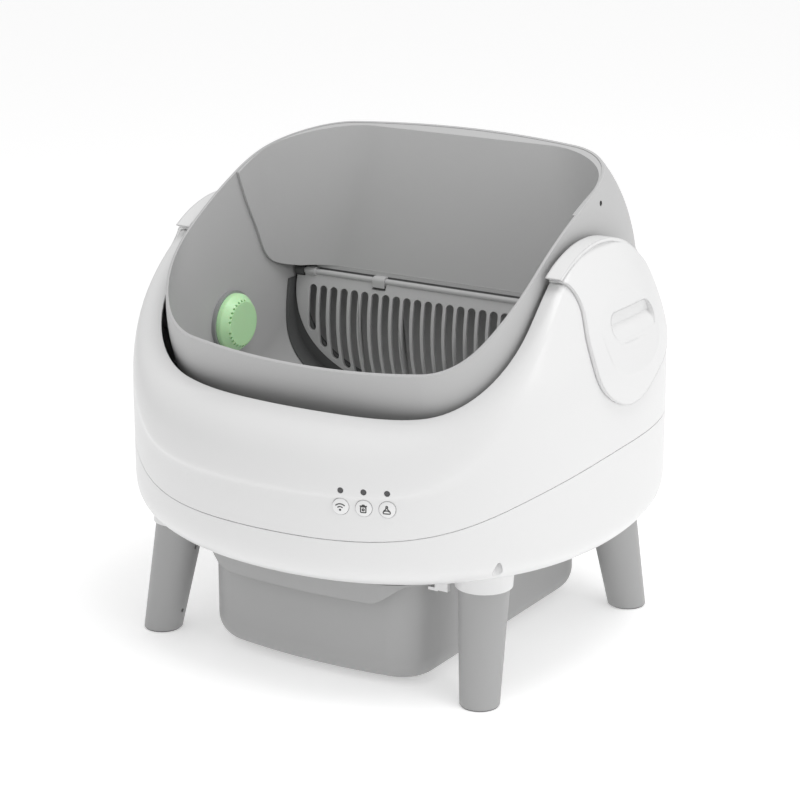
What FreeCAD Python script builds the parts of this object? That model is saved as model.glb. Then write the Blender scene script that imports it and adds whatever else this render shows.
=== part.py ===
import FreeCAD, Part
import math
import os
import Sketcher
from FreeCAD import Vector

# Top-loading automatic litter box, in millimetres.
# X is to the object's right, Y to its rear and Z up. The origin lies on the floor
# under the middle of the casing. A drum turns about an axis along X, over a
# waste drawer that slides out to the front.

doc = FreeCAD.newDocument("LitterBox")
sheet = doc.addObject("Spreadsheet::Sheet", "Sizes")

SIZES = [
    ("casing_half_width", 266.0),
    ("casing_half_depth", 240.0),
    ("casing_squareness", 2.125),
    ("casing_wall", 3.0),
    ("lean_start", 260.0),
    ("lean_height", 238.0),
    ("lean_power", 2.1),
    ("lean_drift", 0.078),
    ("underside_height", 128.5),
    ("underside_slope", 0.063),
    ("heel_height", 43.0),
    ("heel_reach", 60.0),
    ("heel_squareness", 2.8),
    ("front_lip_height", 269.0),
    ("rear_lip_height", 286.0),
    ("crest_height", 417.0),
    ("crest_spread", 33.7),
    ("crest_power", 2.6),
    ("front_roll_reach", 50.0),
    ("front_roll_rise", 45.0),
    ("rear_roll_reach", 30.0),
    ("rear_roll_rise", 30.0),
    ("crest_roll_reach", 4.0),
    ("crest_roll_rise", 6.0),
    ("seam_front_height", 168.5),
    ("seam_rear_height", 234.5),
    ("seam_gap", 0.6),
    ("hub_depth", 11.5),
    ("hub_height", 337.0),
    ("drum_radius", 190.0),
    ("drum_half_width", 196.0),
    ("drum_corner", 80.0),
    ("drum_crown", 900.0),
    ("drum_wall", 2.5),
    ("mouth_gap", 24.0),
    ("mouth_raise", 16.0),
    ("mouth_side_gap", 5.0),
    ("mouth_corner", 95.0),
    ("mouth_crown", 520.0),
    ("liner_gap", 5.5),
    ("liner_side_gap", 3.0),
    ("liner_wall", 2.5),
    ("liner_top", 256.0),
    ("chute_half_width", 92.0),
    ("chute_front", 112.0),
    ("chute_rear", 52.0),
    ("chute_wall", 2.5),
    ("hub_shaft_radius", 20.0),
    ("hub_running_gap", 0.05),
    ("hub_flange_radius", 34.0),
    ("hub_flange_thickness", 8.0),
    ("bush_wall", 5.0),
    ("bush_length", 18.0),
    ("bracket_offset", 21.0),
    ("bracket_thickness", 3.5),
    ("bracket_half_span", 80.0),
    ("gear_offset", 8.0),
    ("gear_width", 9.0),
    ("gear_pitch_radius", 60.0),
    ("gear_teeth", 48.0),
    ("pinion_teeth", 12.0),
    ("pinion_angle", 245.0),
    ("motor_radius", 14.0),
    ("motor_length", 52.0),
    ("gearbox_depth", 24.0),
    ("gearbox_half_span", 24.0),
    ("cover_height", 144.0),
    ("cover_stand", 4.5),
    ("cover_wall", 4.0),
    ("dish_depth", 2.6),
    ("dish_radius", 700.0),
    ("grip_half_length", 42.0),
    ("grip_half_height", 13.0),
    ("grip_depth", 13.0),
    ("rod_depth", 105.5),
    ("rod_height", 317.0),
    ("rod_radius", 3.0),
    ("grate_bow_radius", 150.0),
    ("grate_bow_depth", 97.0),
    ("grate_bow_height", 269.0),
    ("grate_thickness", 3.0),
    ("grate_half_width", 189.5),
    ("grate_drop", 130.0),
    ("grate_squareness", 2.5),
    ("frame_lip_reach", 11.0),
    ("slot_pitch", 12.9),
    ("slot_width", 9.4),
    ("slot_count", 27.0),
    ("panel_wall", 3.0),
    ("panel_foot", 325.0),
    ("puck_radius", 30.0),
    ("puck_rise", 13.0),
    ("puck_base_rise", 4.0),
    ("puck_depth", -14.0),
    ("puck_height", 285.5),
    ("leg_foot_x", 184.5),
    ("leg_foot_y", 151.7),
    ("leg_lean_x", 0.0844),
    ("leg_lean_y", 0.203),
    ("leg_foot_radius", 19.0),
    ("leg_top_radius", 25.2),
    ("leg_height", 126.0),
    ("leg_wall", 3.0),
    ("foot_pad_height", 1.5),
    ("collar_radius", 28.0),
    ("collar_bottom", 110.0),
    ("drawer_half_width", 125.0),
    ("drawer_front", 172.0),
    ("drawer_rear", 174.0),
    ("drawer_bulge", 14.0),
    ("drawer_corner", 43.0),
    ("drawer_floor_radius", 26.0),
    ("drawer_bottom", 3.0),
    ("drawer_top", 109.0),
    ("drawer_wall", 2.5),
    ("drawer_rim", 8.0),
    ("apron_drop", 20.5),
    ("apron_half_width", 121.0),
    ("apron_flat", 80.0),
    ("rail_gap", 0.5),
    ("rail_thickness", 3.0),
    ("button_x", 103.7),
    ("button_pitch", 21.7),
    ("button_height", 200.0),
    ("button_radius", 8.0),
    ("button_crown", 1.6),
    ("button_travel_gap", 0.3),
    ("lens_rise", 15.5),
    ("lens_radius", 2.8),
]

for row, (alias, value) in enumerate(SIZES, start=1):
    sheet.set("A%d" % row, alias)
    sheet.set("B%d" % row, str(value))
    sheet.setAlias("B%d" % row, alias)
doc.recompute()


def size(alias):
    """The plain number in one cell of the sheet."""
    return float(sheet.get(alias))


A = size("casing_half_width")
B = size("casing_half_depth")
WALL = size("casing_wall")
HUB_Y = size("hub_depth")
HUB_Z = size("hub_height")
DRUM_R = size("drum_radius")
DRUM_W = size("drum_half_width")
X_AXIS = Vector(1, 0, 0)
Z_AXIS = Vector(0, 0, 1)
FIT_GAP = 0.3
BIG = 700.0
STATIONS = 24

nodes = []


def sized_feature(label, shape):
    """A piece whose form is set here from the sheet's sizes."""
    feature = doc.addObject("Part::Feature", label)
    feature.Label = label
    feature.Shape = shape
    nodes.append(feature)
    return feature


def keep(obj, label):
    """Name a finished object as one of the pieces."""
    obj.Label = label
    nodes.append(obj)
    return obj


def prism_x(points, closed_with=None, smooth=False, half=BIG):
    """A solid made by running an outline in the YZ plane along X, from -half to half.
    With smooth on, the points lie on one free curve, and closed_with are the
    straight corners that close it."""
    at = [Vector(-half, y, z) for y, z in points]
    edges = []
    if smooth:
        curve = Part.BSplineCurve()
        curve.interpolate(at)
        edges.append(curve.toShape())
    else:
        edges += [Part.LineSegment(p, q).toShape() for p, q in zip(at[:-1], at[1:])]
    corners = [at[-1]] + [Vector(-half, y, z) for y, z in closed_with or []] + [at[0]]
    edges += [Part.LineSegment(p, q).toShape() for p, q in zip(corners[:-1], corners[1:])]
    return Part.Face(Part.Wire(edges)).extrude(Vector(2 * half, 0, 0))


def box(x0, x1, y0, y1, z0, z1):
    return Part.makeBox(x1 - x0, y1 - y0, z1 - z0, Vector(x0, y0, z0))


def rod(radius, start, end):
    """A cylinder from one point to another."""
    along = end - start
    return Part.makeCylinder(radius, along.Length, start, along)


def mirror_x(shape):
    return shape.mirror(Vector(0, 0, 0), X_AXIS)


def drum_profile(radius, half_width, corner, crown):
    """Half section of the drum about its axis: flat sides, round corners, and a
    slightly crowned middle. All arcs join tangentially."""
    centre_x = half_width - corner
    centre_r = radius - crown + math.sqrt((crown - corner) ** 2 - centre_x ** 2)
    lean = math.atan2(centre_x, centre_r - radius + crown)
    join_x = crown * math.sin(lean)
    join_r = radius - crown + crown * math.cos(lean)
    mid = (lean + math.pi / 2) / 2
    mid_x = centre_x + corner * math.sin(mid)
    mid_r = centre_r + corner * math.cos(mid)
    return (join_x, join_r), (mid_x, mid_r), (half_width, centre_r)


def drum_form(radius, half_width, corner, crown, axis_y, axis_z):
    """The solid of revolution with that half section, about an axis along X."""
    join, mid, side = drum_profile(radius, half_width, corner, crown)

    def at(x, r):
        return Vector(x, axis_y, axis_z + r)

    edges = [
        Part.LineSegment(at(-half_width, 0), at(-half_width, side[1])).toShape(),
        Part.Arc(at(-side[0], side[1]), at(-mid[0], mid[1]), at(-join[0], join[1])).toShape(),
        Part.Arc(at(-join[0], join[1]), at(0, radius), at(join[0], join[1])).toShape(),
        Part.Arc(at(join[0], join[1]), at(mid[0], mid[1]), at(side[0], side[1])).toShape(),
        Part.LineSegment(at(half_width, side[1]), at(half_width, 0)).toShape(),
        Part.LineSegment(at(half_width, 0), at(-half_width, 0)).toShape(),
    ]
    face = Part.Face(Part.Wire(edges))
    return face.revolve(Vector(0, axis_y, axis_z), X_AXIS, 360)


def drum_solid(grow):
    """The drum's outer form, offset outwards by a distance."""
    return drum_form(
        DRUM_R + grow, DRUM_W + grow, size("drum_corner") + grow, size("drum_crown") + grow, HUB_Y, HUB_Z
    )


# Casing form: rings of a superellipse stacked from the underside, up the wall,
# over the rolled lip and into the mouth. The drum's mouth is cut from it later.


def plan_radius(angle, half_width, half_depth):
    power = size("casing_squareness")
    across = abs(math.cos(angle) / half_width) ** power
    along = abs(math.sin(angle) / half_depth) ** power
    return (across + along) ** (-1 / power)


def lean_scale(height):
    """How much narrower the casing is at a height than at its widest."""
    rise = max(0.0, height - size("lean_start")) / size("lean_height")
    power = size("lean_power")
    return (1 - min(rise, 0.98) ** power) ** (1 / power)


def wall_point(angle, height, inset, reach=0.0):
    scale = lean_scale(height)
    radius = plan_radius(angle, A * scale, B * scale) - inset - reach
    drift = size("lean_drift") * max(0.0, height - size("lean_start"))
    return Vector(radius * math.cos(angle), radius * math.sin(angle) + drift, height)


def heel_point(angle, turn, inset):
    """A point of the rounded heel: turn runs from 0 at the wall to 90 degrees below."""
    power = 2 / size("heel_squareness")
    down = math.sin(math.radians(turn)) ** power
    inward = 1 - max(0.0, math.cos(math.radians(turn))) ** power
    reach = size("heel_reach") * inward
    radius = plan_radius(angle, A - reach, B - reach * B / A) - inset
    y = radius * math.sin(angle)
    bottom = size("underside_height") + size("underside_slope") * y
    height = bottom + size("heel_height") * (1 - down) + inset * down
    return Vector(radius * math.cos(angle), y, height)


def crest_share(angle):
    """1 beside the hubs, falling to 0 at the front and the rear."""
    from_side = math.degrees(abs(math.asin(math.sin(angle))))
    return math.exp(-((from_side / size("crest_spread")) ** size("crest_power")))


def lip_height(angle):
    low = size("front_lip_height") if math.sin(angle) < 0 else size("rear_lip_height")
    return low + (size("crest_height") - low) * crest_share(angle)


def roll_size(angle):
    """Reach inwards and rise of the rolled lip."""
    end = "front" if math.sin(angle) < 0 else "rear"
    open_share = (1 - crest_share(angle)) ** 2.2
    reach = size("crest_roll_reach")
    reach += (size(end + "_roll_reach") - reach) * open_share
    rise = size("crest_roll_rise")
    rise += (size(end + "_roll_rise") - rise) * open_share
    return reach, rise


def roll_point(angle, turn, inset):
    reach, rise = roll_size(angle)
    part = math.radians(turn)
    height = lip_height(angle) - rise + rise * math.sin(part)
    point = wall_point(angle, height, inset * math.cos(part), reach * (1 - math.cos(part)))
    point.z -= inset * math.sin(part)
    return point


def smooth_skin(rows):
    """A smooth surface, closed round each ring, through rows of points."""
    ring_poles = []
    for points in rows:
        curve = Part.BSplineCurve()
        turns = [float(step) for step in range(len(points) + 1)]
        curve.interpolate(Points=points, PeriodicFlag=True, Parameters=turns)
        ring_poles.append(curve.getPoles())
    ring_knots = curve.getKnots()
    ring_mults = curve.getMultiplicities()
    count = len(ring_poles[0])
    steps = [0.0]
    for low, high in zip(ring_poles[:-1], ring_poles[1:]):
        steps.append(steps[-1] + sum((q - p).Length for p, q in zip(low, high)) / count)
    columns = []
    for place in range(count):
        curve = Part.BSplineCurve()
        curve.interpolate(Points=[row[place] for row in ring_poles], Parameters=steps)
        columns.append(curve.getPoles())
    surface = Part.BSplineSurface()
    surface.buildFromPolesMultsKnots(
        columns, ring_mults, curve.getMultiplicities(), ring_knots, curve.getKnots(), True, False, 3, 3
    )
    return surface.toShape()


def solid_from_skin(skin):
    """Close both flat ends of a skin and make it solid."""
    caps = []
    for edge in skin.Edges:
        if edge.Closed and edge.BoundBox.ZLength < 80:
            caps.append(Part.Face(Part.Wire(edge)))
    shell = Part.makeShell([skin] + caps)
    shell.sewShape()
    solid = Part.makeSolid(shell)
    solid.fix(1e-4, 1e-4, 1e-3)
    return solid


def casing_form(inset):
    """The casing as a closed solid, with its whole surface moved inwards by inset."""
    angles = [math.pi * (0.5 + 2 * step / STATIONS) for step in range(STATIONS)]
    rows = []
    for turn in (90, 50, 25, 0):
        rows.append([heel_point(angle, turn, inset) for angle in angles])
    for share in (0.25, 0.5, 0.75):
        points = []
        for angle in angles:
            low = heel_point(angle, 0, 0).z
            high = roll_point(angle, 0, 0).z
            points.append(wall_point(angle, low + (high - low) * share, inset))
        rows.append(points)
    for turn in (0, 30, 60, 90):
        rows.append([roll_point(angle, turn, inset) for angle in angles])
    inner = []
    for angle in angles:
        edge = roll_point(angle, 90, inset)
        inner.append(Vector(edge.x * 0.82, edge.y * 0.82, edge.z - 2))
    rows.append(inner)
    core_height = HUB_Z - 50 - inset
    rows.append([wall_point(angle, core_height, 0, A * 0.72) for angle in angles])
    return solid_from_skin(smooth_skin(rows))


def seam_line(shift):
    """Side view of the seam: level at the front, rising in a curve to the hubs."""
    low = size("seam_front_height") + shift
    high = size("seam_rear_height") + shift
    start = -0.85 * B
    points = [(-B - 20, low), (start - 15, low)]
    for share in (0.12, 0.3, 0.5, 0.75, 1.0):
        y = start + (HUB_Y - start) * share
        points.append((y, high - (high - low) * (1 - share) ** 2))
    points.append((B * 0.5, high))
    points.append((B + 20, high))
    return points


def seam_prism(shift, upward):
    far = 600.0 if upward else 0.0
    return prism_x(seam_line(shift), [(B + 20, far), (-B - 20, far)], smooth=True)


def underside(y):
    return size("underside_height") + size("underside_slope") * y


def wall_place(x, height):
    """The point of the front wall at a distance across, and the outward direction."""
    low, high = -math.pi / 2, 0.0
    for _ in range(40):
        middle = (low + high) / 2
        if wall_point(middle, height, 0).x < x:
            low = middle
        else:
            high = middle
    ahead = wall_point(low + 0.01, height, 0)
    behind = wall_point(low - 0.01, height, 0)
    along = (ahead - behind).normalize()
    return wall_point(low, height, 0), along.cross(Z_AXIS)


def side_x(y, height, inset):
    """How far the right wall stands out at a depth and a height."""
    low, high = -math.pi / 2, math.pi / 2
    for _ in range(40):
        middle = (low + high) / 2
        if wall_point(middle, height, inset).y < y:
            low = middle
        else:
            high = middle
    return wall_point(low, height, inset).x


def fuse_all(first, others):
    return first.fuse(others).removeSplitter()


# Casing forms. Grown and shrunken copies of the same form make the walls, the
# side covers and what has to follow the inside of the casing.
casing_outer = casing_form(0.0)
casing_inner = casing_form(WALL)
mouth = drum_form(
    DRUM_R + size("mouth_gap"),
    DRUM_W + size("mouth_side_gap"),
    size("mouth_corner"),
    size("mouth_crown"),
    HUB_Y,
    HUB_Z + size("mouth_raise"),
)
shell_band = casing_outer.cut(casing_inner)
upper = shell_band.common(seam_prism(size("seam_gap") / 2, True)).cut(mouth)
below_seam = seam_prism(-size("seam_gap") / 2, False)
lower = shell_band.common(below_seam)

# Side covers: outline seen from the side, as shares of the cover height from the hub.
COVER = size("cover_height")
COVER_ARC_Y = HUB_Y - 0.03 * COVER
COVER_ARC_Z = HUB_Z - 0.4354 * COVER
COVER_ARC_R = 0.9903 * COVER
COVER_OUTLINE = [
    (0.4882, 0.3972),
    (0.6285, 0.1319),
    (0.5701, -0.0903),
    (0.4056, -0.2403),
    (0.2104, -0.3153),
    (0.0153, -0.3979),
    (-0.2396, -0.4465),
    (-0.4271, -0.3715),
    (-0.5097, -0.2778),
    (-0.5431, -0.1007),
    (-0.5243, 0.0521),
    (-0.4757, 0.2014),
    (-0.4771, 0.3111),
    (-0.5660, 0.3958),
]


def cover_prism(margin):
    """What lies inside the cover's outline, on the right side, less a margin."""
    middle_y = HUB_Y + 0.04 * COVER
    middle_z = HUB_Z + 0.1 * COVER
    points = []
    for across, up in COVER_OUTLINE:
        y = HUB_Y + across * COVER
        z = HUB_Z + up * COVER
        reach = math.hypot(y - middle_y, z - middle_z)
        share = 1 - margin / reach
        points.append(Vector(0, middle_y + (y - middle_y) * share, middle_z + (z - middle_z) * share))
    curve = Part.BSplineCurve()
    curve.interpolate(points)
    first, last = points[0], points[-1]
    top = Vector(0, COVER_ARC_Y, COVER_ARC_Z + COVER_ARC_R - margin)
    arc = Part.Arc(last, top, first)
    face = Part.Face(Part.Wire([curve.toShape(), arc.toShape()]))
    return face.extrude(Vector(BIG, 0, 0))


def pill_prism(grow, x_from, x_to):
    """The grip's outline grown by a margin, run along X."""
    half_height = size("grip_half_height") + grow
    straight = size("grip_half_length") - size("grip_half_height")
    z = HUB_Z + 6.4
    solid = box(x_from, x_to, HUB_Y - straight, HUB_Y + straight, z - half_height, z + half_height)
    ends = []
    for y in (HUB_Y - straight, HUB_Y + straight):
        ends.append(rod(half_height, Vector(x_from, y, z), Vector(x_to, y, z)))
    return fuse_all(solid, ends)


cover_stand = size("cover_stand")
cover_face_x = A * lean_scale(HUB_Z) + cover_stand
grip_end_x = cover_face_x - size("grip_depth")
cover_outer = casing_form(-cover_stand)
cover_skin = cover_outer.cut(casing_form(size("cover_wall") - cover_stand))
band_x = DRUM_W + size("mouth_side_gap") + 0.5
beside = box(band_x, BIG, -B, B, 0, 600)
cover_right = cover_skin.common(cover_prism(0.0)).common(beside)

# The cover's top turns inwards over the shell as a band, and the grip is a pocket
# that is deep at the top, with a ramp for its floor.
band_arc = rod(COVER_ARC_R, Vector(0, COVER_ARC_Y, COVER_ARC_Z), Vector(BIG, COVER_ARC_Y, COVER_ARC_Z))
band_hollow = rod(
    COVER_ARC_R - size("cover_wall"), Vector(-1, COVER_ARC_Y, COVER_ARC_Z), Vector(BIG, COVER_ARC_Y, COVER_ARC_Z)
)
above = box(band_x, BIG, -B, B, HUB_Z + 0.3 * COVER, 600)
band = band_arc.cut(band_hollow).common(cover_prism(0.0)).common(above)
crest_x = A * lean_scale(size("crest_height") - 8) + cover_stand
band = band.common(cover_outer.fuse(box(0, crest_x, -B, B, HUB_Z + 0.3 * COVER, 600)))
pocket_wall = 2.5
pocket = pill_prism(pocket_wall, grip_end_x - pocket_wall, cover_face_x).common(cover_outer)
cover_right = fuse_all(cover_right, [band, pocket])
grip_low = HUB_Z + 6.4 - size("grip_half_height")
grip_space = pill_prism(0.0, grip_end_x, BIG)
ramp_face = Part.makePolygon(
    [
        Vector(grip_end_x - 1, -B, grip_low - 1),
        Vector(cover_face_x + 1, -B, grip_low - 1),
        Vector(grip_end_x - 1, -B, HUB_Z + 8),
        Vector(grip_end_x - 1, -B, grip_low - 1),
    ]
)
grip_space = grip_space.cut(Part.Face(ramp_face).extrude(Vector(0, 2 * B, 0)))
dish_tilt = math.atan2(side_x(HUB_Y, HUB_Z, 0) - side_x(HUB_Y, HUB_Z + 10, 0), 10)
dish_out = Vector(math.cos(dish_tilt), 0, math.sin(dish_tilt))
dish_low = Vector(side_x(HUB_Y, HUB_Z, -cover_stand), HUB_Y, HUB_Z) - dish_out * size("dish_depth")
dish_centre = dish_low - dish_out * size("dish_radius")
dish_ball = Part.makeSphere(size("dish_radius"), dish_centre).rotated(dish_centre, Z_AXIS, 180)
dish_reach = rod(60.0, Vector(A - 60, HUB_Y, HUB_Z), Vector(A + 60, HUB_Y, HUB_Z))
cover_right = cover_right.cut(grip_space).cut(dish_reach.cut(dish_ball))
CREST_ROOM = 6.5
shell_window = pill_prism(pocket_wall + 1.5, DRUM_W + 10, BIG)
crest_trim = cover_prism(-3.0).cut(
    rod(
        COVER_ARC_R - size("cover_wall") - CREST_ROOM,
        Vector(-1, COVER_ARC_Y, COVER_ARC_Z),
        Vector(BIG, COVER_ARC_Y, COVER_ARC_Z),
    )
).common(box(0, BIG, -B, B, HUB_Z + 0.3 * COVER, 600))
for cutter in (shell_window, crest_trim):
    upper = upper.cut(cutter).cut(mirror_x(cutter))
upper = max(upper.Solids, key=lambda solid: solid.Volume)

# Legs lean towards the middle as they rise. Collars on the lower shell hold them.
LEG_SIGNS = [
    ("front_left", -1, -1),
    ("front_right", 1, -1),
    ("rear_left", -1, 1),
    ("rear_right", 1, 1),
]


def leg_point(sign_x, sign_y, height):
    x = sign_x * (size("leg_foot_x") - size("leg_lean_x") * height)
    y = sign_y * (size("leg_foot_y") - size("leg_lean_y") * height)
    return Vector(x, y, height)


def leg_cone(sign_x, sign_y, grow, bottom, top):
    """A leaning cone that follows the leg, grown by a distance, level at both ends."""
    slope = (size("leg_top_radius") - size("leg_foot_radius")) / size("leg_height")
    reach = 12.0
    low = leg_point(sign_x, sign_y, bottom - reach)
    high = leg_point(sign_x, sign_y, top + reach)
    low_radius = size("leg_foot_radius") + slope * (bottom - reach) + grow
    high_radius = size("leg_foot_radius") + slope * (top + reach) + grow
    cone = Part.makeCone(low_radius, high_radius, (high - low).Length, low, high - low)
    return cone.common(box(-A, A, -B, B, bottom, top))


LEG_TOP = size("leg_height")
LEG_FIT = 0.3
BOSS_TOP = 152.0
bosses = []
boss_cuts = []
for name, sign_x, sign_y in LEG_SIGNS:
    collar_grow = size("collar_radius") - size("leg_top_radius")
    bosses.append(leg_cone(sign_x, sign_y, collar_grow, size("collar_bottom"), BOSS_TOP))
    boss_cuts.append(leg_cone(sign_x, sign_y, LEG_FIT, size("collar_bottom") - 1, LEG_TOP))
    boss_cuts.append(leg_cone(sign_x, sign_y, 0.0, LEG_TOP + 4, BOSS_TOP + 1))
    centre = leg_point(sign_x, sign_y, LEG_TOP)
    boss_cuts.append(rod(2.1, centre, centre + Vector(0, 0, 10)))

# Casing screws come up from below through pockets in the heel.
CASING_SCREW_X = 0.763 * A
CASING_SCREW_Y = 0.64 * B
SCREW_LENGTH = 45.0
SCREW_RADIUS = 2.0
HEAD_RADIUS = 3.8
HEAD_RISE = 2.5


def seam_height(y):
    low = size("seam_front_height")
    high = size("seam_rear_height")
    start = -0.85 * B
    if y > HUB_Y:
        return high
    share = max(0.0, (y - start) / (HUB_Y - start))
    return high - (high - low) * (1 - share) ** 2


upper_bosses = []
upper_holes = []
screw_starts = []
for name, sign_x, sign_y in LEG_SIGNS:
    x = sign_x * CASING_SCREW_X
    y = sign_y * CASING_SCREW_Y
    split = seam_height(y)
    start = split - 28
    screw_starts.append(Vector(x, y, start))
    lower_boss = rod(7.5, Vector(x, y, 120), Vector(x, y, split - 1)).common(casing_outer)
    bosses.append(lower_boss.common(below_seam))
    boss_cuts.append(rod(4.8, Vector(x, y, 100), Vector(x, y, start)))
    boss_cuts.append(rod(SCREW_RADIUS + 0.2, Vector(x, y, start - 1), Vector(x, y, split + 5)))
    upper_bosses.append(rod(6.0, Vector(x, y, split - 1 + 0.5), Vector(x, y, split + 30)).common(casing_outer))
    upper_holes.append(rod(SCREW_RADIUS + 0.02, Vector(x, y, split - 3), Vector(x, y, split + 20)))

# Main board on four posts at the rear, and the power socket's hole.
BOARD_Z = 168.0
BOARD_Y = 188.0
BOARD_HALF_X = 60.0
BOARD_HALF_Y = 24.0
BOARD_THICKNESS = 1.6
for x in (-BOARD_HALF_X + 5, BOARD_HALF_X - 5):
    for y in (BOARD_Y - BOARD_HALF_Y + 5, BOARD_Y + BOARD_HALF_Y - 5):
        bosses.append(rod(4.0, Vector(x, y, 110), Vector(x, y, BOARD_Z)).common(casing_outer))
SOCKET_X = 60.0
SOCKET_Z = 200.0
SOCKET_RADIUS = 6.0
socket_y = -wall_place(SOCKET_X, SOCKET_Z)[0].y
boss_cuts.append(
    rod(SOCKET_RADIUS + 0.05, Vector(SOCKET_X, socket_y - 30, SOCKET_Z), Vector(SOCKET_X, B + 20, SOCKET_Z))
)

# Waste chute: the liner's floor opens into a short square tube through the casing.
CHUTE_X = size("chute_half_width")
CHUTE_Y0 = -size("chute_front")
CHUTE_Y1 = size("chute_rear")
CHUTE_WALL = size("chute_wall")
CHUTE_LOW = 113.5
CHUTE_FIT = 0.5
boss_cuts.append(
    box(
        -CHUTE_X - CHUTE_WALL - CHUTE_FIT,
        CHUTE_X + CHUTE_WALL + CHUTE_FIT,
        CHUTE_Y0 - CHUTE_WALL - CHUTE_FIT,
        CHUTE_Y1 + CHUTE_WALL + CHUTE_FIT,
        100,
        150,
    )
)
lower = lower.fuse(bosses)
lower = lower.cut(Part.makeCompound(boss_cuts))
lower = max(lower.Solids, key=lambda solid: solid.Volume)

liner_form_in = drum_form(
    DRUM_R + size("liner_gap"),
    DRUM_W + size("liner_side_gap"),
    size("drum_corner") + size("liner_side_gap"),
    size("drum_crown"),
    HUB_Y,
    HUB_Z,
)
LINER_WALL = size("liner_wall")
liner_form_out = drum_form(
    DRUM_R + size("liner_gap") + LINER_WALL,
    DRUM_W + size("liner_side_gap") + LINER_WALL,
    size("drum_corner") + size("liner_side_gap") + LINER_WALL,
    size("drum_crown") + LINER_WALL,
    HUB_Y,
    HUB_Z,
)
below = box(-A, A, -B, B, 0, size("liner_top"))
posts = []
for x in (-118.0, 118.0):
    for y in (-96.0, 96.0):
        foot = underside(y) + WALL
        column = rod(7.0, Vector(x, y, 100), Vector(x, y, 200))
        floor_cut = prism_x([(-B, underside(-B) + WALL), (B, underside(B) + WALL)], [(B, 0), (-B, 0)])
        posts.append(column.cut(floor_cut))
tube = box(
    -CHUTE_X - CHUTE_WALL, CHUTE_X + CHUTE_WALL, CHUTE_Y0 - CHUTE_WALL, CHUTE_Y1 + CHUTE_WALL, CHUTE_LOW, 200
)
liner = liner_form_out.common(below).fuse(posts + [tube]).cut(liner_form_in)
liner = liner.cut(box(-CHUTE_X, CHUTE_X, CHUTE_Y0, CHUTE_Y1, 90, 220))
liner = liner.common(below)
liner = max(liner.Solids, key=lambda solid: solid.Volume)

# Control panel at the front: three buttons and three small lights on one slant.
BUTTON_X = size("button_x")
BUTTON_Z = size("button_height")
PANEL_POINT, PANEL_OUT = wall_place(BUTTON_X, BUTTON_Z)
PANEL_SIDE = PANEL_OUT.cross(Z_AXIS).normalize() * -1
BUTTON_R = size("button_radius")
STEM_DEPTH = 12.0
TRAVEL = 1.2


def panel_place(across, outward, up):
    return PANEL_POINT + PANEL_SIDE * across + PANEL_OUT * outward + Z_AXIS * up


def wall_dip(across):
    """How far the wall stands outside the flat plane through the middle button."""
    x = BUTTON_X + across * PANEL_SIDE.x
    point, _ = wall_place(x, BUTTON_Z)
    return (point - PANEL_POINT).dot(PANEL_OUT)


buttons = []
lens_parts = []
switch_parts = []
panel_holes = []
for index, label in enumerate(("connect_button", "bin_button", "clean_button")):
    across = (index - 1) * size("button_pitch")
    face = wall_dip(across) + size("button_crown")
    radius = BUTTON_R - size("button_travel_gap")
    cap = rod(radius, panel_place(across, face - 6.0, 0), panel_place(across, face, 0))
    ball_radius = 26.0
    ball = Part.makeSphere(ball_radius, panel_place(across, face - ball_radius, 0))
    cap = cap.common(ball)
    flange = rod(BUTTON_R + 1.5, panel_place(across, face - 7.6, 0), panel_place(across, face - 6.0, 0))
    stem = rod(2.5, panel_place(across, -STEM_DEPTH, 0), panel_place(across, face - 7.0, 0))
    buttons.append((label, fuse_all(cap, [flange, stem])))
    panel_holes.append(rod(BUTTON_R, panel_place(across, -8, 0), panel_place(across, 12, 0)))
    light_face = wall_dip(across) + 0.2
    lens_r = size("lens_radius")
    lens_up = size("lens_rise")
    lens_parts.append(
        rod(lens_r, panel_place(across, -STEM_DEPTH - 5, lens_up), panel_place(across, light_face, lens_up))
    )
    panel_holes.append(rod(lens_r + 0.03, panel_place(across, -8, lens_up), panel_place(across, 12, lens_up)))
    base = rod(3.4, panel_place(across, -STEM_DEPTH - 5, 0), panel_place(across, -STEM_DEPTH - 2.6, 0))
    plunger = rod(1.6, panel_place(across, -STEM_DEPTH - 3, 0), panel_place(across, -STEM_DEPTH - TRAVEL, 0))
    switch_parts.append(base.fuse(plunger))
board_posts = []
for across in (-40.0, 40.0):
    board_posts.append(
        rod(3.5, panel_place(across, -STEM_DEPTH - 5, 4), panel_place(across, 6, 4)).common(casing_outer)
    )


def slanted_block(half_across, low, high, depth_from, depth_to):
    """A block whose broad faces follow the control panel's slant."""
    corners = [
        panel_place(-half_across, depth_from, low),
        panel_place(half_across, depth_from, low),
        panel_place(half_across, depth_from, high),
        panel_place(-half_across, depth_from, high),
    ]
    outline = Part.makePolygon(corners + corners[:1])
    return Part.Face(outline).extrude(PANEL_OUT * (depth_to - depth_from))


control_board = slanted_block(46.0, -10.0, 22.0, -STEM_DEPTH - 6.6, -STEM_DEPTH - 5)
upper = upper.fuse(upper_bosses + board_posts)
upper = upper.cut(Part.makeCompound(panel_holes + upper_holes)).cut(mouth)
upper = max(upper.Solids, key=lambda solid: solid.Volume)

# Drum: a thin tub of revolution cut by the slanting, curved mouth, then the back
# panel, the frame and the hinged grate inside it.
DRUM_WALL = size("drum_wall")
INSIDE = drum_solid(-DRUM_WALL)
SEATED = drum_solid(-DRUM_WALL - FIT_GAP)
MOUTH_LINE = [
    (-1.0226, -0.1900),
    (-0.8979, -0.0830),
    (-0.7332, 0.0980),
    (-0.5142, 0.2765),
    (-0.2784, 0.4230),
    (-0.0563, 0.5326),
    (0.2163, 0.6363),
    (0.4353, 0.6932),
    (0.6311, 0.7558),
]


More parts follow.
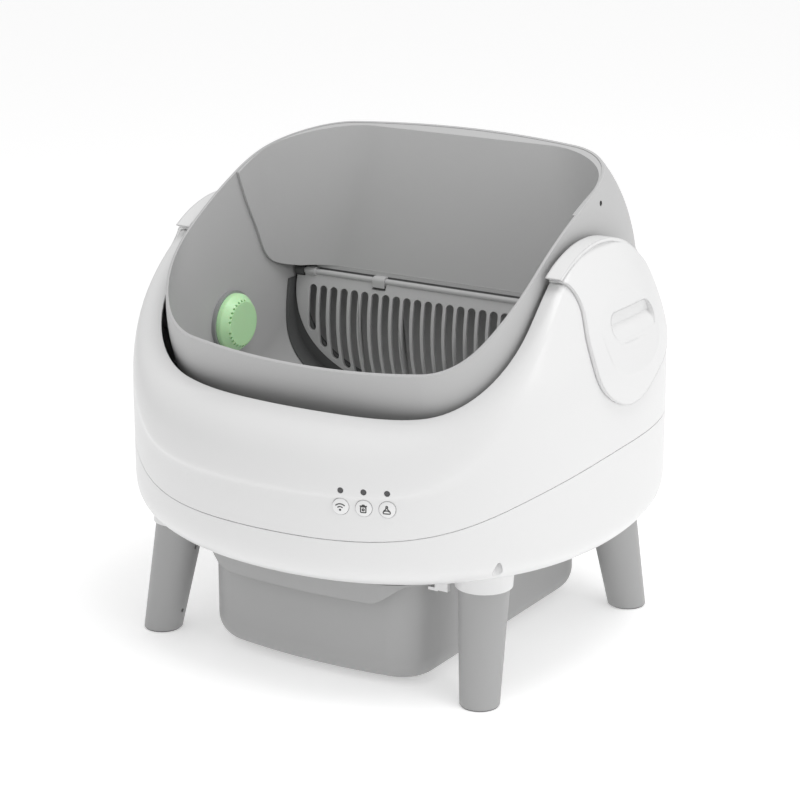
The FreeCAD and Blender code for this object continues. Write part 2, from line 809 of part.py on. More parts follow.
def mouth_prism(drop, half=BIG):
    """Everything below the drum's mouth surface, lowered by a distance."""
    points = [(HUB_Y + y * DRUM_R, HUB_Z + z * DRUM_R - drop) for y, z in MOUTH_LINE]
    start = (HUB_Y - 1.5 * DRUM_R, points[0][1] - 8)
    end = (HUB_Y + 1.5 * DRUM_R, points[-1][1] + 70)
    curve = Part.BSplineCurve()
    curve.interpolate([Vector(-half, y, z) for y, z in points])
    corners = [points[-1], end, (end[0], 0), (start[0], 0), start, points[0]]
    edges = [curve.toShape()]
    for p, q in zip(corners[:-1], corners[1:]):
        edges.append(Part.LineSegment(Vector(-half, *p), Vector(-half, *q)).toShape())
    return Part.Face(Part.Wire(edges)).extrude(Vector(2 * half, 0, 0))


below_mouth = mouth_prism(0.0)
PANEL_SCREW_Y = 50.0
PANEL_SCREW_Z = 441.0
tub = drum_solid(0.0).cut(INSIDE).common(below_mouth)
PANEL_SCREW_SEAT = DRUM_W - 2.1
for sign in (-1, 1):
    seat = Vector(sign * PANEL_SCREW_SEAT, PANEL_SCREW_Y, PANEL_SCREW_Z)
    tub = tub.cut(rod(1.7, seat - X_AXIS * sign * 10, seat)).cut(rod(2.7, seat, seat + X_AXIS * sign * 10))

PANEL_WALL = size("panel_wall")
PANEL_FOOT = size("panel_foot")


def trough_section(grow, height, rear, corner):
    """Level outline of the space in front of the back panel."""
    half = DRUM_W - 5.4 + grow
    rear = rear + grow
    corner = corner + grow
    front = -DRUM_R
    turn = corner * (1 - math.sqrt(0.5))
    points = [
        Vector(-half, front, height),
        Vector(-half, rear - corner, height),
        Vector(-half + turn, rear - turn, height),
        Vector(-half + corner, rear, height),
        Vector(half - corner, rear, height),
        Vector(half - turn, rear - turn, height),
        Vector(half, rear - corner, height),
        Vector(half, front, height),
    ]
    edges = [
        Part.LineSegment(points[0], points[1]).toShape(),
        Part.Arc(points[1], points[2], points[3]).toShape(),
        Part.LineSegment(points[3], points[4]).toShape(),
        Part.Arc(points[4], points[5], points[6]).toShape(),
        Part.LineSegment(points[6], points[7]).toShape(),
        Part.LineSegment(points[7], points[0]).toShape(),
    ]
    return Part.Wire(edges)


def trough(grow):
    low = trough_section(grow, 305.0, 107.6, 47.0)
    high = trough_section(grow, 505.0, 122.4, 97.0)
    return Part.makeLoft([low, high], True, True)


trough_in = trough(0.0)
PANEL_EDGE = [
    (-0.0511, 0.5284),
    (0.0342, 0.3384),
    (0.1253, 0.1705),
    (0.1711, 0.0737),
    (0.2332, 0.0026),
    (0.3158, -0.0374),
    (0.4237, -0.0632),
]
edge_points = [(HUB_Y + y * DRUM_R, HUB_Z + z * DRUM_R) for y, z in PANEL_EDGE]
edge_points = [(edge_points[0][0] - 20, edge_points[0][1] + 46)] + edge_points
behind_edge = prism_x(
    edge_points,
    [(edge_points[-1][0] + 4, PANEL_FOOT), (B, PANEL_FOOT), (B, 560), (edge_points[0][0], 560)],
    smooth=True,
)
under_flange = mouth_prism(PANEL_WALL)
panel = trough(PANEL_WALL).common(under_flange.fuse(below_mouth))
flange_band = mouth_prism(0.4).cut(mouth_prism(0.4 + PANEL_WALL))
panel = panel.common(mouth_prism(0.4)).fuse(flange_band)
panel = panel.cut(trough_in).common(SEATED).common(behind_edge)
panel = max(panel.Solids, key=lambda solid: solid.Volume)
for sign in (-1, 1):
    seat = Vector(sign * PANEL_SCREW_SEAT, PANEL_SCREW_Y, PANEL_SCREW_Z)
    panel = panel.cut(rod(1.7, seat - X_AXIS * sign * 2.6, seat))

# Grate and its frame lie on cylinders about one axis along X, bowed to the front.
BOW_R = size("grate_bow_radius")
BOW_Y = size("grate_bow_depth") + BOW_R
BOW_Z = size("grate_bow_height")
ROD_Y = size("rod_depth")
ROD_Z = size("rod_height")
ROD_R = size("rod_radius")


def bowed_plate(outer, thickness):
    centre = Vector(-A, BOW_Y, BOW_Z)
    end = Vector(A, BOW_Y, BOW_Z)
    plate = rod(outer, centre, end).cut(rod(outer - thickness, centre - X_AXIS, end + X_AXIS))
    return plate.common(box(-A, A, -B, BOW_Y, 0, 560))


def moon_depth(x, margin):
    """Depth of the half-moon below the rod at a distance across."""
    power = size("grate_squareness")
    share = min(1.0, abs(x) / (size("grate_half_width") - margin))
    return (size("grate_drop") - margin) * (1 - share ** power) ** (1 / power)


def moon_prism(margin, top):
    """The half-moon outline, run along Y."""
    half = size("grate_half_width") - margin
    count = 14
    points = []
    for step in range(count + 1):
        angle = math.pi * step / count
        power = 2 / size("grate_squareness")
        x = -half * math.copysign(abs(math.cos(angle)) ** power, math.cos(angle))
        depth = (size("grate_drop") - margin) * math.sin(angle) ** power if 0 < step < count else 0.0
        points.append(Vector(x, -B, ROD_Z - depth))
    curve = Part.BSplineCurve()
    curve.interpolate(points)
    corners = [points[-1], Vector(half, -B, ROD_Z + 60), Vector(-half, -B, ROD_Z + 60), points[0]]
    edges = [curve.toShape()]
    edges += [Part.LineSegment(p, q).toShape() for p, q in zip(corners[:-1], corners[1:])]
    solid = Part.Face(Part.Wire(edges)).extrude(Vector(0, 2 * B, 0))
    return solid.common(box(-A, A, -B, B, 0, top))


GRATE_TOP = ROD_Z - 1.0
SOCKET_IN = size("grate_half_width") - 8.5
frame_outer_radius = BOW_R - size("grate_thickness") - 0.5
frame = bowed_plate(frame_outer_radius, 3.0).common(box(-A, A, -B, B, 0, ROD_Z + 5))
frame = frame.common(SEATED).cut(moon_prism(9.0, ROD_Z - 12))
lip_reach = size("frame_lip_reach")
frame_lip = bowed_plate(BOW_R + lip_reach, BOW_R + lip_reach - frame_outer_radius)
frame_lip = frame_lip.common(SEATED).cut(drum_solid(-DRUM_WALL - FIT_GAP - 1.8))
frame_lip = frame_lip.common(box(-A, A, -B, B, 0, ROD_Z - 8))
frame = frame.fuse(frame_lip)
sockets = []
for sign in (-1, 1):
    sockets.append(rod(5.2, Vector(sign * SOCKET_IN, ROD_Y, ROD_Z), Vector(sign * (DRUM_W - 4.2), ROD_Y, ROD_Z)))
frame = frame.fuse(sockets).common(SEATED)
rod_hole = rod(ROD_R, Vector(-A, ROD_Y, ROD_Z), Vector(A, ROD_Y, ROD_Z))
KNUCKLES = [(-172.0, 12.0), (172.0, 12.0)]
frame_cuts = [rod_hole]
for x, width in KNUCKLES:
    frame_cuts.append(
        box(x - width / 2 - 1, x + width / 2 + 1, ROD_Y - 10, ROD_Y + 10, ROD_Z - 7, ROD_Z + 10)
    )
frame = frame.cut(Part.makeCompound(frame_cuts))
frame = max(frame.Solids, key=lambda solid: solid.Volume)

CLIP_X = 87.0
CLIP_HALF = 7.0
grate = bowed_plate(BOW_R, size("grate_thickness")).common(moon_prism(0.0, GRATE_TOP))
grate = grate.common(drum_solid(-DRUM_WALL - 4.0))
slots = []
pitch = size("slot_pitch")
slot_half = size("slot_width") / 2
slot_top = ROD_Z - 13.0 - slot_half
slot_count = int(size("slot_count"))
SLOT_EDGE = 3.5
EDGE_IN = DRUM_WALL + 4.0 + SLOT_EDGE
for index in range(slot_count):
    x = (index - (slot_count - 1) / 2) * pitch
    low = ROD_Z - moon_depth(abs(x) + slot_half, SLOT_EDGE) + slot_half
    wall_r = drum_profile(DRUM_R - EDGE_IN, DRUM_W - EDGE_IN, size("drum_corner") - EDGE_IN, size("drum_crown"))
    reach = DRUM_R - EDGE_IN
    if abs(x) > wall_r[0][0]:
        inset_x = abs(x) + slot_half - (DRUM_W - size("drum_corner"))
        corner = size("drum_corner") - EDGE_IN
        reach = wall_r[2][1] + math.sqrt(max(1.0, corner ** 2 - max(0.0, inset_x) ** 2))
    low = max(low, HUB_Z - math.sqrt(max(1.0, reach ** 2 - (118.0 - HUB_Y) ** 2)) + slot_half)
    if slot_top - low < 2 * slot_half:
        continue
    slot = box(x - slot_half, x + slot_half, 0, BOW_Y, low, slot_top)
    ends = [rod(slot_half, Vector(x, 0, z), Vector(x, BOW_Y, z)) for z in (low, slot_top)]
    slots.append(slot.fuse(ends).removeSplitter())
grate = grate.cut(Part.makeCompound(slots))
for sign in (-1, 1):
    socket_room = rod(6.0, Vector(sign * (SOCKET_IN - 1), ROD_Y, ROD_Z), Vector(sign * A, ROD_Y, ROD_Z))
    grate = grate.cut(socket_room)
knuckles = []
for x, width in KNUCKLES:
    start = Vector(x - width / 2, ROD_Y, ROD_Z)
    knuckles.append(rod(ROD_R + 1.8, start, start + X_AXIS * width))
grate = grate.fuse(knuckles)
for sign in (-1, 1):
    notch = box(-CLIP_HALF - 1, CLIP_HALF + 1, ROD_Y - 9, ROD_Y + 5, ROD_Z - 9.5, ROD_Z + 5)
    grate = grate.cut(notch.translated(X_AXIS * sign * CLIP_X))
grate = grate.cut(rod(ROD_R + 0.05, Vector(-A, ROD_Y, ROD_Z), Vector(A, ROD_Y, ROD_Z)))
grate = max(grate.Solids, key=lambda solid: solid.Volume)

clips = []
for sign in (-1, 1):
    start = Vector(sign * CLIP_X - CLIP_HALF, ROD_Y, ROD_Z)
    clip = rod(ROD_R + 1.8, start, start + X_AXIS * 2 * CLIP_HALF)
    low_x = sign * CLIP_X - CLIP_HALF
    high_x = sign * CLIP_X + CLIP_HALF
    clip = clip.fuse(box(low_x, high_x, ROD_Y, ROD_Y + 8, ROD_Z - 4, ROD_Z + 4.5))
    clip = clip.fuse(box(low_x, high_x, ROD_Y - ROD_R - 1.8, ROD_Y - ROD_R, ROD_Z - 6.5, ROD_Z))
    clip = clip.cut(bowed_plate(frame_outer_radius + 0.2, 6.0)).cut(rod_hole)
    clips.append(max(clip.Solids, key=lambda solid: solid.Volume))

# Deodorizer puck on the inner left wall of the drum.
PUCK_X = -(DRUM_W - DRUM_WALL)
PUCK_Y = size("puck_depth")
PUCK_Z = size("puck_height")
PUCK_R = size("puck_radius")
PUCK_BASE = size("puck_base_rise")
puck_root = Vector(PUCK_X, PUCK_Y, PUCK_Z)
puck_base = rod(PUCK_R + 2.5, puck_root, puck_root + X_AXIS * PUCK_BASE)
puck_base = puck_base.cut(rod(PUCK_R - 6, puck_root - X_AXIS, puck_root + X_AXIS * (PUCK_BASE - 1.5)))
puck_base = puck_base.fuse(
    rod(8.0, puck_root + X_AXIS * 0.5, puck_root + X_AXIS * (PUCK_BASE + 3))
)
cap_start = puck_root + X_AXIS * PUCK_BASE
rise = size("puck_rise")
puck_side = 5.0
face_share = 0.78
puck_cap = rod(PUCK_R, cap_start, cap_start + X_AXIS * puck_side)
bevel_start = cap_start + X_AXIS * puck_side
puck_cap = puck_cap.fuse(Part.makeCone(PUCK_R, PUCK_R * face_share, rise - puck_side, bevel_start, X_AXIS))
puck_cap = puck_cap.removeSplitter()
rings = [edge for edge in puck_cap.Edges if edge.Closed and edge.BoundBox.XMin > cap_start.x + 1]
puck_cap = puck_cap.makeFillet(3.0, rings)
puck_cap = puck_cap.cut(rod(8.05, cap_start - X_AXIS, cap_start + X_AXIS * 3.2))
vents = []
VENTS_PER_SIDE = 8
VENT_PLACE = face_share * PUCK_R
for side in (-1, 1):
    for index in range(VENTS_PER_SIDE):
        angle = math.radians(180 + side * (14 + 12 * index))
        middle = cap_start + Vector(rise - 8, VENT_PLACE * math.cos(angle), VENT_PLACE * math.sin(angle))
        vents.append(rod(1.2, middle, middle + X_AXIS * 12))
puck_cap = puck_cap.cut(Part.makeCompound(vents))

# Waste drawer: rounded plan with a bulging front, a rim that runs on two rails and
# an apron at the front that the fingers pull.
DRAWER_W = size("drawer_half_width")
DRAWER_F = size("drawer_front")
DRAWER_TOP = size("drawer_top")
DRAWER_LOW = size("drawer_bottom")


def drawer_block(grow, bottom, top, floor_radius=0.0, forward=0.0):
    """The drawer's plan grown by a distance, extruded between two heights."""
    half = DRAWER_W + grow
    rear = size("drawer_rear") + grow
    side_front = -(DRAWER_F - size("drawer_bulge")) - grow - forward
    middle_front = -DRAWER_F - grow - forward
    corners = [
        Vector(half, side_front, bottom),
        Vector(half, rear, bottom),
        Vector(-half, rear, bottom),
        Vector(-half, side_front, bottom),
    ]
    edges = [Part.Arc(corners[3], Vector(0, middle_front, bottom), corners[0]).toShape()]
    edges += [Part.LineSegment(p, q).toShape() for p, q in zip(corners[:-1], corners[1:])]
    block = Part.Face(Part.Wire(edges)).extrude(Vector(0, 0, top - bottom))
    upright = [e for e in block.Edges if e.BoundBox.ZLength > 0.9 * (top - bottom)]
    block = block.makeFillet(size("drawer_corner") + grow, upright)
    if floor_radius > 0:
        rim = [e for e in block.Edges if e.BoundBox.ZMax < bottom + 0.01]
        block = block.makeFillet(floor_radius, rim)
    return block


DRAWER_WALL = size("drawer_wall")
RIM = size("drawer_rim")
FLOOR_R = size("drawer_floor_radius")
drawer_in = drawer_block(-DRAWER_WALL, DRAWER_LOW + DRAWER_WALL, DRAWER_TOP + 5, FLOOR_R - DRAWER_WALL)
rim_band = drawer_block(RIM, DRAWER_TOP - 3, DRAWER_TOP).common(
    box(-A, A, -DRAWER_F - 2, B, DRAWER_TOP - 3, DRAWER_TOP)
)
apron_low = DRAWER_TOP - size("apron_drop")
apron_half = size("apron_half_width")
apron = drawer_block(0.0, apron_low, DRAWER_TOP, 0.0, 14.0)
apron = apron.cut(drawer_block(-DRAWER_WALL, apron_low - 1, DRAWER_TOP - DRAWER_WALL, 0.0, 14.0))
apron_sides = []
for sign in (-1, 1):
    sweep = []
    for share in (0.0, 0.25, 0.5, 0.75, 1.0):
        x = sign * (size("apron_flat") + (apron_half - size("apron_flat")) * share)
        lift = (DRAWER_TOP - apron_low) * share ** 2 * (3 - 2 * share)
        sweep.append(Vector(x, -B, apron_low + lift))
    curve = Part.BSplineCurve()
    curve.interpolate(sweep)
    apron_sides.append((curve.toShape(), sweep[0], sweep[-1]))
apron_flat = Part.LineSegment(apron_sides[0][1], apron_sides[1][1]).toShape()
apron_roof = Part.LineSegment(apron_sides[1][2], apron_sides[0][2]).toShape()
apron_outline = Part.Wire([apron_sides[0][0], apron_flat, apron_sides[1][0], apron_roof])
apron = apron.common(Part.Face(apron_outline).extrude(Vector(0, B - DRAWER_F + 34, 0)))
drawer = drawer_block(0.0, DRAWER_LOW, DRAWER_TOP, FLOOR_R).fuse([rim_band] + apron.Solids).cut(drawer_in)
drawer = max(drawer.Solids, key=lambda solid: solid.Volume)

# Rails hang from the lower shell beside the drawer, and its rim rests on them.
RAIL_GAP = size("rail_gap")
RAIL = size("rail_thickness")
rail_in = DRAWER_W + 2.0
rail_out = DRAWER_W + RIM + 1.0
ledge_top = DRAWER_TOP - 3 - RAIL_GAP
rail = box(rail_in, rail_out + RAIL, -DRAWER_F + 22, size("drawer_rear") - 6, ledge_top - RAIL, ledge_top)
rail = rail.fuse(
    box(rail_out, rail_out + RAIL, -DRAWER_F + 22, size("drawer_rear") - 6, ledge_top - RAIL, 200)
)
rail = rail.fuse(box(rail_out, rail_out + 14, -DRAWER_F + 22, -DRAWER_F + 27, ledge_top - 2, ledge_top + 8))
rail = rail.removeSplitter().cut(casing_outer)
rail = min(rail.Solids, key=lambda solid: solid.CenterOfMass.z)

# Brackets hold the drum's bushes. Their wings reach the inside of the casing.
HUB = Vector(0, HUB_Y, HUB_Z)
SHAFT_R = size("hub_shaft_radius")
BUSH_R = SHAFT_R + size("bush_wall")
BRACKET_X = DRUM_W + size("bracket_offset")
BRACKET_T = size("bracket_thickness")
SPAN = size("bracket_half_span")
PITCH_R = size("gear_pitch_radius")
MODULE = 2 * PITCH_R / size("gear_teeth")
PINION_PITCH = MODULE * size("pinion_teeth") / 2
lean = math.radians(size("pinion_angle"))
PINION_Y = HUB_Y + (PITCH_R + PINION_PITCH) * math.cos(lean)
PINION_Z = HUB_Z + (PITCH_R + PINION_PITCH) * math.sin(lean)
fitted_space = casing_form(WALL + 0.3)


def bracket(low):
    plate = box(BRACKET_X, BRACKET_X + BRACKET_T, HUB_Y - SPAN, HUB_Y + SPAN, low, HUB_Z + 38)
    wings = []
    for sign in (-1, 1):
        y0, y1 = sorted((HUB_Y + sign * SPAN, HUB_Y + sign * (SPAN - BRACKET_T)))
        wings.append(box(BRACKET_X, A + 20, y0, y1, HUB_Z - 52, HUB_Z + 38))
    solid = fuse_all(plate, wings).common(fitted_space)
    solid = solid.cut(rod(BUSH_R, Vector(0, HUB_Y, HUB_Z), Vector(A, HUB_Y, HUB_Z)))
    return max(solid.Solids, key=lambda one: one.Volume)


bracket_left = mirror_x(bracket(HUB_Z - 52))
bracket_right = bracket(PINION_Z - 28).cut(
    rod(4.2, Vector(0, PINION_Y, PINION_Z), Vector(A, PINION_Y, PINION_Z))
)

# Legs: hollow, level at both ends, with a plate at the top and at the foot.
legs = []
LEG_WALL = size("leg_wall")
PAD = size("foot_pad_height")
PLUG_R = 6.0
for name, sign_x, sign_y in LEG_SIGNS:
    leg = leg_cone(sign_x, sign_y, 0.0, PAD, LEG_TOP).cut(leg_cone(sign_x, sign_y, -LEG_WALL, PAD + 5, LEG_TOP - 5))
    foot = leg_point(sign_x, sign_y, 0)
    top = leg_point(sign_x, sign_y, LEG_TOP)
    leg = leg.cut(rod(PLUG_R + 0.05, foot, foot + Vector(0, 0, PAD + 6)))
    leg = leg.cut(rod(SCREW_RADIUS + 0.02, top - Vector(0, 0, 20), top + Vector(0, 0, 1)))
    for height in (20.0, 85.0):
        middle = leg_point(sign_x, sign_y, height)
        leg = leg.cut(rod(2.0, middle, middle - X_AXIS * sign_x * 40))
    legs.append(("leg_" + name, leg))


def screw(seat, direction, length):
    """A screw whose head rests on a seat, with its shank along a direction."""
    head = rod(HEAD_RADIUS, seat, seat - direction * HEAD_RISE)
    return head.fuse(rod(SCREW_RADIUS, seat - direction, seat + direction * length)).removeSplitter()


DOWN = Vector(0, 0, -1)
UP = Vector(0, 0, 1)
leg_screws = []
for name, sign_x, sign_y in LEG_SIGNS:
    leg_screws.append(screw(leg_point(sign_x, sign_y, LEG_TOP) + UP * 4, DOWN, 14.0))
casing_screws = [screw(start, UP, SCREW_LENGTH) for start in screw_starts]

# Each cover stands off the shell on two small bosses with a screw from inside.
COVER_SCREWS = [(-42.0, -28.0), (62.0, -2.0)]
cover_gap_form = casing_form(size("cover_wall") - cover_stand - 0.3).cut(casing_form(-0.1))
cover_screws = []
shell_holes = []
cover_bosses = []
cover_holes = []
for across, up in COVER_SCREWS:
    start = Vector(DRUM_W + 20, HUB_Y + across, HUB_Z + up)
    end = Vector(A + 20, start.y, start.z)
    seat = Vector(side_x(start.y, start.z, WALL), start.y, start.z)
    cover_bosses.append(rod(5.0, start, end).common(cover_gap_form))
    cover_holes.append(rod(1.52, start, seat + X_AXIS * 5.4))
    shell_holes.append(rod(1.7, start, end))
    head = rod(3.2, seat - X_AXIS * 3, seat + X_AXIS * 3).common(casing_inner)
    shank = rod(1.5, seat - X_AXIS, seat + X_AXIS * 5.2)
    cover_screws.append(head.fuse(shank).removeSplitter())
cover_right = cover_right.fuse(cover_bosses).cut(Part.makeCompound(cover_holes))
cover_right = max(cover_right.Solids, key=lambda solid: solid.Volume)
both_holes = shell_holes + [mirror_x(hole) for hole in shell_holes]
upper = upper.cut(Part.makeCompound(both_holes))
cover_screws += [mirror_x(one) for one in cover_screws]

panel_screws = []
for sign in (-1, 1):
    seat = Vector(sign * PANEL_SCREW_SEAT, PANEL_SCREW_Y, PANEL_SCREW_Z)
    head = rod(2.6, seat, seat + X_AXIS * sign * 1.2)
    shank = rod(1.65, seat - X_AXIS * sign * 2.5, seat + X_AXIS * sign)
    panel_screws.append(head.fuse(shank).removeSplitter())

# Power socket at the rear: a round barrel with a centre pin, and a square body.
socket_face = Vector(SOCKET_X, socket_y + 0.6, SOCKET_Z)
REAR = Vector(0, 1, 0)
socket = rod(SOCKET_RADIUS, socket_face - REAR * 18, socket_face)
socket = socket.cut(rod(SOCKET_RADIUS - 2, socket_face - REAR * 10, socket_face + REAR))
socket = socket.fuse(rod(1.0, socket_face - REAR * 11, socket_face - REAR * 2))
socket = socket.fuse(
    box(SOCKET_X - 7, SOCKET_X + 7, socket_face.y - 20, socket_face.y - 9, SOCKET_Z - 7, SOCKET_Z + 7)
)

for label, shape in (
    ("upper_shell", upper),
    ("lower_shell", lower),
    ("cradle_liner", liner),
    ("side_cover_right", cover_right),
    ("side_cover_left", mirror_x(cover_right)),
    ("bearing_bracket_left", bracket_left),
    ("bearing_bracket_right", bracket_right),
    ("drawer_rail_left", mirror_x(rail)),
    ("drawer_rail_right", rail),
    ("waste_drawer", drawer),
    ("drum_tub", tub),
    ("drum_back_panel", panel),
    ("grate_frame", frame),
    ("grate", grate),
    ("grate_clips", Part.makeCompound(clips)),
    ("deodorizer_base", puck_base),
    ("deodorizer_cap", puck_cap),
    ("led_lenses", Part.makeCompound(lens_parts)),
    ("tact_switches", Part.makeCompound(switch_parts)),
    ("control_board", control_board),
    ("leg_screws", Part.makeCompound(leg_screws)),
    ("casing_screws", Part.makeCompound(casing_screws)),
    ("cover_screws", Part.makeCompound(cover_screws)),
    ("panel_screws", Part.makeCompound(panel_screws)),
    ("power_inlet", socket),
):
    sized_feature(label, shape)
for label, shape in buttons + legs:
    sized_feature(label, shape)


# The pieces below are built as sketches, pads and patterns, or as plain solids,
# each bound to the sheet.


def bind(obj, formulas):
    for name, formula in formulas.items():
        obj.setExpression(name, formula)


def new_body(label):
    body = doc.addObject("PartDesign::Body", label)
    return keep(body, label)


def new_sketch(body, name, role, offset):
    """An empty sketch on one of the body's base planes, moved along its normal."""
    plane = next(feature for feature in body.Origin.OriginFeatures if feature.Role == role)
    sketch = body.newObject("Sketcher::SketchObject", name)
    sketch.AttachmentSupport = [(plane, "")]
    sketch.MapMode = "FlatFace"
    sketch.setExpression("AttachmentOffset.Base.z", offset)
    return sketch


def add_circle(sketch, across, up, radius):
    """A circle whose centre and radius are formulas."""
    place = sketch.addGeometry(Part.Circle(Vector(1, 1, 0), Z_AXIS, 1.0))
    for kind, formula in (("DistanceX", across), ("DistanceY", up)):
        index = sketch.addConstraint(Sketcher.Constraint(kind, -1, 1, place, 3, 1.0))
        sketch.setExpression("Constraints[%d]" % index, formula)
    index = sketch.addConstraint(Sketcher.Constraint("Radius", place, 1.0))
    sketch.setExpression("Constraints[%d]" % index, radius)


def pad(body, sketch, length, backwards=False):
    feature = body.newObject("PartDesign::Pad", sketch.Name + "_pad")
    feature.Profile = sketch
    feature.Reversed = backwards
    feature.setExpression("Length", length)
    return feature


def ring_pad(body, name, offset, length, radii, centre, backwards=False, role="YZ_Plane"):
    """A disc, or with two radii a ring, standing on a base plane moved by an offset."""
    sketch = new_sketch(body, name, role, offset)
    for radius in radii:
        add_circle(sketch, centre[0], centre[1], radius)
    return pad(body, sketch, length, backwards)


HUB_FORMULA = ("Sizes.hub_depth", "Sizes.hub_height")
BRACKET_FORMULA = "(Sizes.drum_half_width + Sizes.bracket_offset)"
for side, sign in (("left", "-1"), ("right", "1")):
    backwards = sign == "-1"
    bush = new_body("bearing_bush_" + side)
    bore = "Sizes.hub_shaft_radius + Sizes.hub_running_gap"
    outer = "Sizes.hub_shaft_radius + Sizes.bush_wall"
    ring_pad(
        bush, "bush_tube_" + side, sign + " * " + BRACKET_FORMULA, "Sizes.bush_length",
        (bore, outer), HUB_FORMULA, backwards,
    )
    ring_pad(
        bush, "bush_flange_" + side, sign + " * (" + BRACKET_FORMULA + " + Sizes.bracket_thickness)", "2.5",
        (bore, outer + " + 4"), HUB_FORMULA, backwards,
    )
    hub = new_body("drum_hub_" + side)
    ring_pad(
        hub, "hub_flange_" + side, sign + " * Sizes.drum_half_width", "Sizes.hub_flange_thickness",
        ("Sizes.hub_flange_radius",), HUB_FORMULA, backwards,
    )
    ring_pad(
        hub, "hub_shaft_" + side, sign + " * (Sizes.drum_half_width + 1)", "Sizes.bush_length + 17",
        ("Sizes.hub_shaft_radius", "Sizes.hub_shaft_radius - 5"), HUB_FORMULA, backwards,
    )


def add_tooth(body, name, offset, length, centre, root, tip, half_root, half_tip, angle, count, axis_name):
    """One straight-sided tooth and its circular pattern about the wheel's axis."""
    sketch = new_sketch(body, name, "YZ_Plane", offset)
    outward = Vector(math.cos(angle), math.sin(angle), 0)
    sideways = Vector(-outward.y, outward.x, 0)
    middle = Vector(centre[0], centre[1], 0)
    corners = [
        middle + outward * (root - 1) + sideways * half_root,
        middle + outward * tip + sideways * half_tip,
        middle + outward * tip - sideways * half_tip,
        middle + outward * (root - 1) - sideways * half_root,
    ]
    for start, end in zip(corners, corners[1:] + corners[:1]):
        sketch.addGeometry(Part.LineSegment(start, end))
    for line in range(4):
        sketch.addConstraint(Sketcher.Constraint("Coincident", line, 2, (line + 1) % 4, 1))
        sketch.addConstraint(Sketcher.Constraint("DistanceX", -1, 1, line, 1, corners[line].x))
        sketch.addConstraint(Sketcher.Constraint("DistanceY", -1, 1, line, 1, corners[line].y))
    tooth = pad(body, sketch, length)
    pattern = body.newObject("PartDesign::PolarPattern", name + "_ring")
    pattern.Originals = [tooth]
    axis = body.newObject("Sketcher::SketchObject", axis_name)
    plane = next(feature for feature in body.Origin.OriginFeatures if feature.Role == "XZ_Plane")
    axis.AttachmentSupport = [(plane, "")]
    axis.MapMode = "FlatFace"
    axis.AttachmentOffset = FreeCAD.Placement(Vector(0, 0, -centre[0]), FreeCAD.Rotation())
    axis.addGeometry(Part.LineSegment(Vector(0, centre[1], 0), Vector(100, centre[1], 0)))
    axis.addConstraint(Sketcher.Constraint("Horizontal", 0))
    axis.addConstraint(Sketcher.Constraint("DistanceX", -1, 1, 0, 1, 0.0))
    axis.addConstraint(Sketcher.Constraint("DistanceY", -1, 1, 0, 1, centre[1]))
    axis.addConstraint(Sketcher.Constraint("DistanceX", 0, 1, 0, 2, 100.0))
    pattern.Axis = (axis, ["Edge1"])
    pattern.Angle = 360
    pattern.Occurrences = count
    body.Tip = pattern


GEAR_X = "(Sizes.drum_half_width + Sizes.gear_offset)"
gear = new_body("drum_ring_gear")
ROOT = PITCH_R - 1.25 * MODULE
ring_pad(
    gear, "gear_web", GEAR_X, "3",
    ("Sizes.gear_pitch_radius - 1.25 * (2 * Sizes.gear_pitch_radius / Sizes.gear_teeth)",
     "Sizes.hub_shaft_radius + 0.02"), HUB_FORMULA,
)
ring_pad(
    gear, "gear_rim", GEAR_X, "Sizes.gear_width",
    ("Sizes.gear_pitch_radius - 1.25 * (2 * Sizes.gear_pitch_radius / Sizes.gear_teeth)",
     "Sizes.gear_pitch_radius - 10"), HUB_FORMULA,
)
add_tooth(
    gear, "gear_tooth", GEAR_X, "Sizes.gear_width", (HUB_Y, HUB_Z), ROOT, PITCH_R + 0.85 * MODULE,
    0.86 * MODULE, 0.36 * MODULE, lean, int(size("gear_teeth")), "gear_axis",
)
pinion = new_body("drive_pinion")
PINION_ROOT = PINION_PITCH - 1.25 * MODULE
ring_pad(pinion, "pinion_core", GEAR_X, "Sizes.gear_width", (str(PINION_ROOT),), (str(PINION_Y), str(PINION_Z)))
ring_pad(
    pinion, "pinion_shaft", GEAR_X, "Sizes.bracket_offset - Sizes.gear_offset + Sizes.bracket_thickness + 8",
    ("4",), (str(PINION_Y), str(PINION_Z)),
)
add_tooth(
    pinion, "pinion_tooth", GEAR_X, "Sizes.gear_width", (PINION_Y, PINION_Z), PINION_ROOT,
    PINION_PITCH + 0.85 * MODULE, 0.80 * MODULE, 0.34 * MODULE, lean + math.pi + math.pi / size("pinion_teeth"),
    int(size("pinion_teeth")), "pinion_axis",
)


def plain_box(label, formulas):
    solid = doc.addObject("Part::Box", label)
    names = ("Placement.Base.x", "Placement.Base.y", "Placement.Base.z", "Length", "Width", "Height")
    bind(solid, dict(zip(names, formulas)))
    return solid


def plain_cylinder(label, direction, formulas):
    solid = doc.addObject("Part::Cylinder", label)
    solid.Placement = FreeCAD.Placement(Vector(0, 0, 0), FreeCAD.Rotation(Z_AXIS, direction))
    names = ("Placement.Base.x", "Placement.Base.y", "Placement.Base.z", "Radius", "Height")
    bind(solid, dict(zip(names, formulas)))
    return solid


def joined(kind, label, parts):
    """A boolean of document objects, kept as one named piece."""
    result = doc.addObject(kind, label)
    if kind == "Part::Cut":
        result.Base, result.Tool = parts
    else:
        result.Shapes = parts
    return keep(result, label)


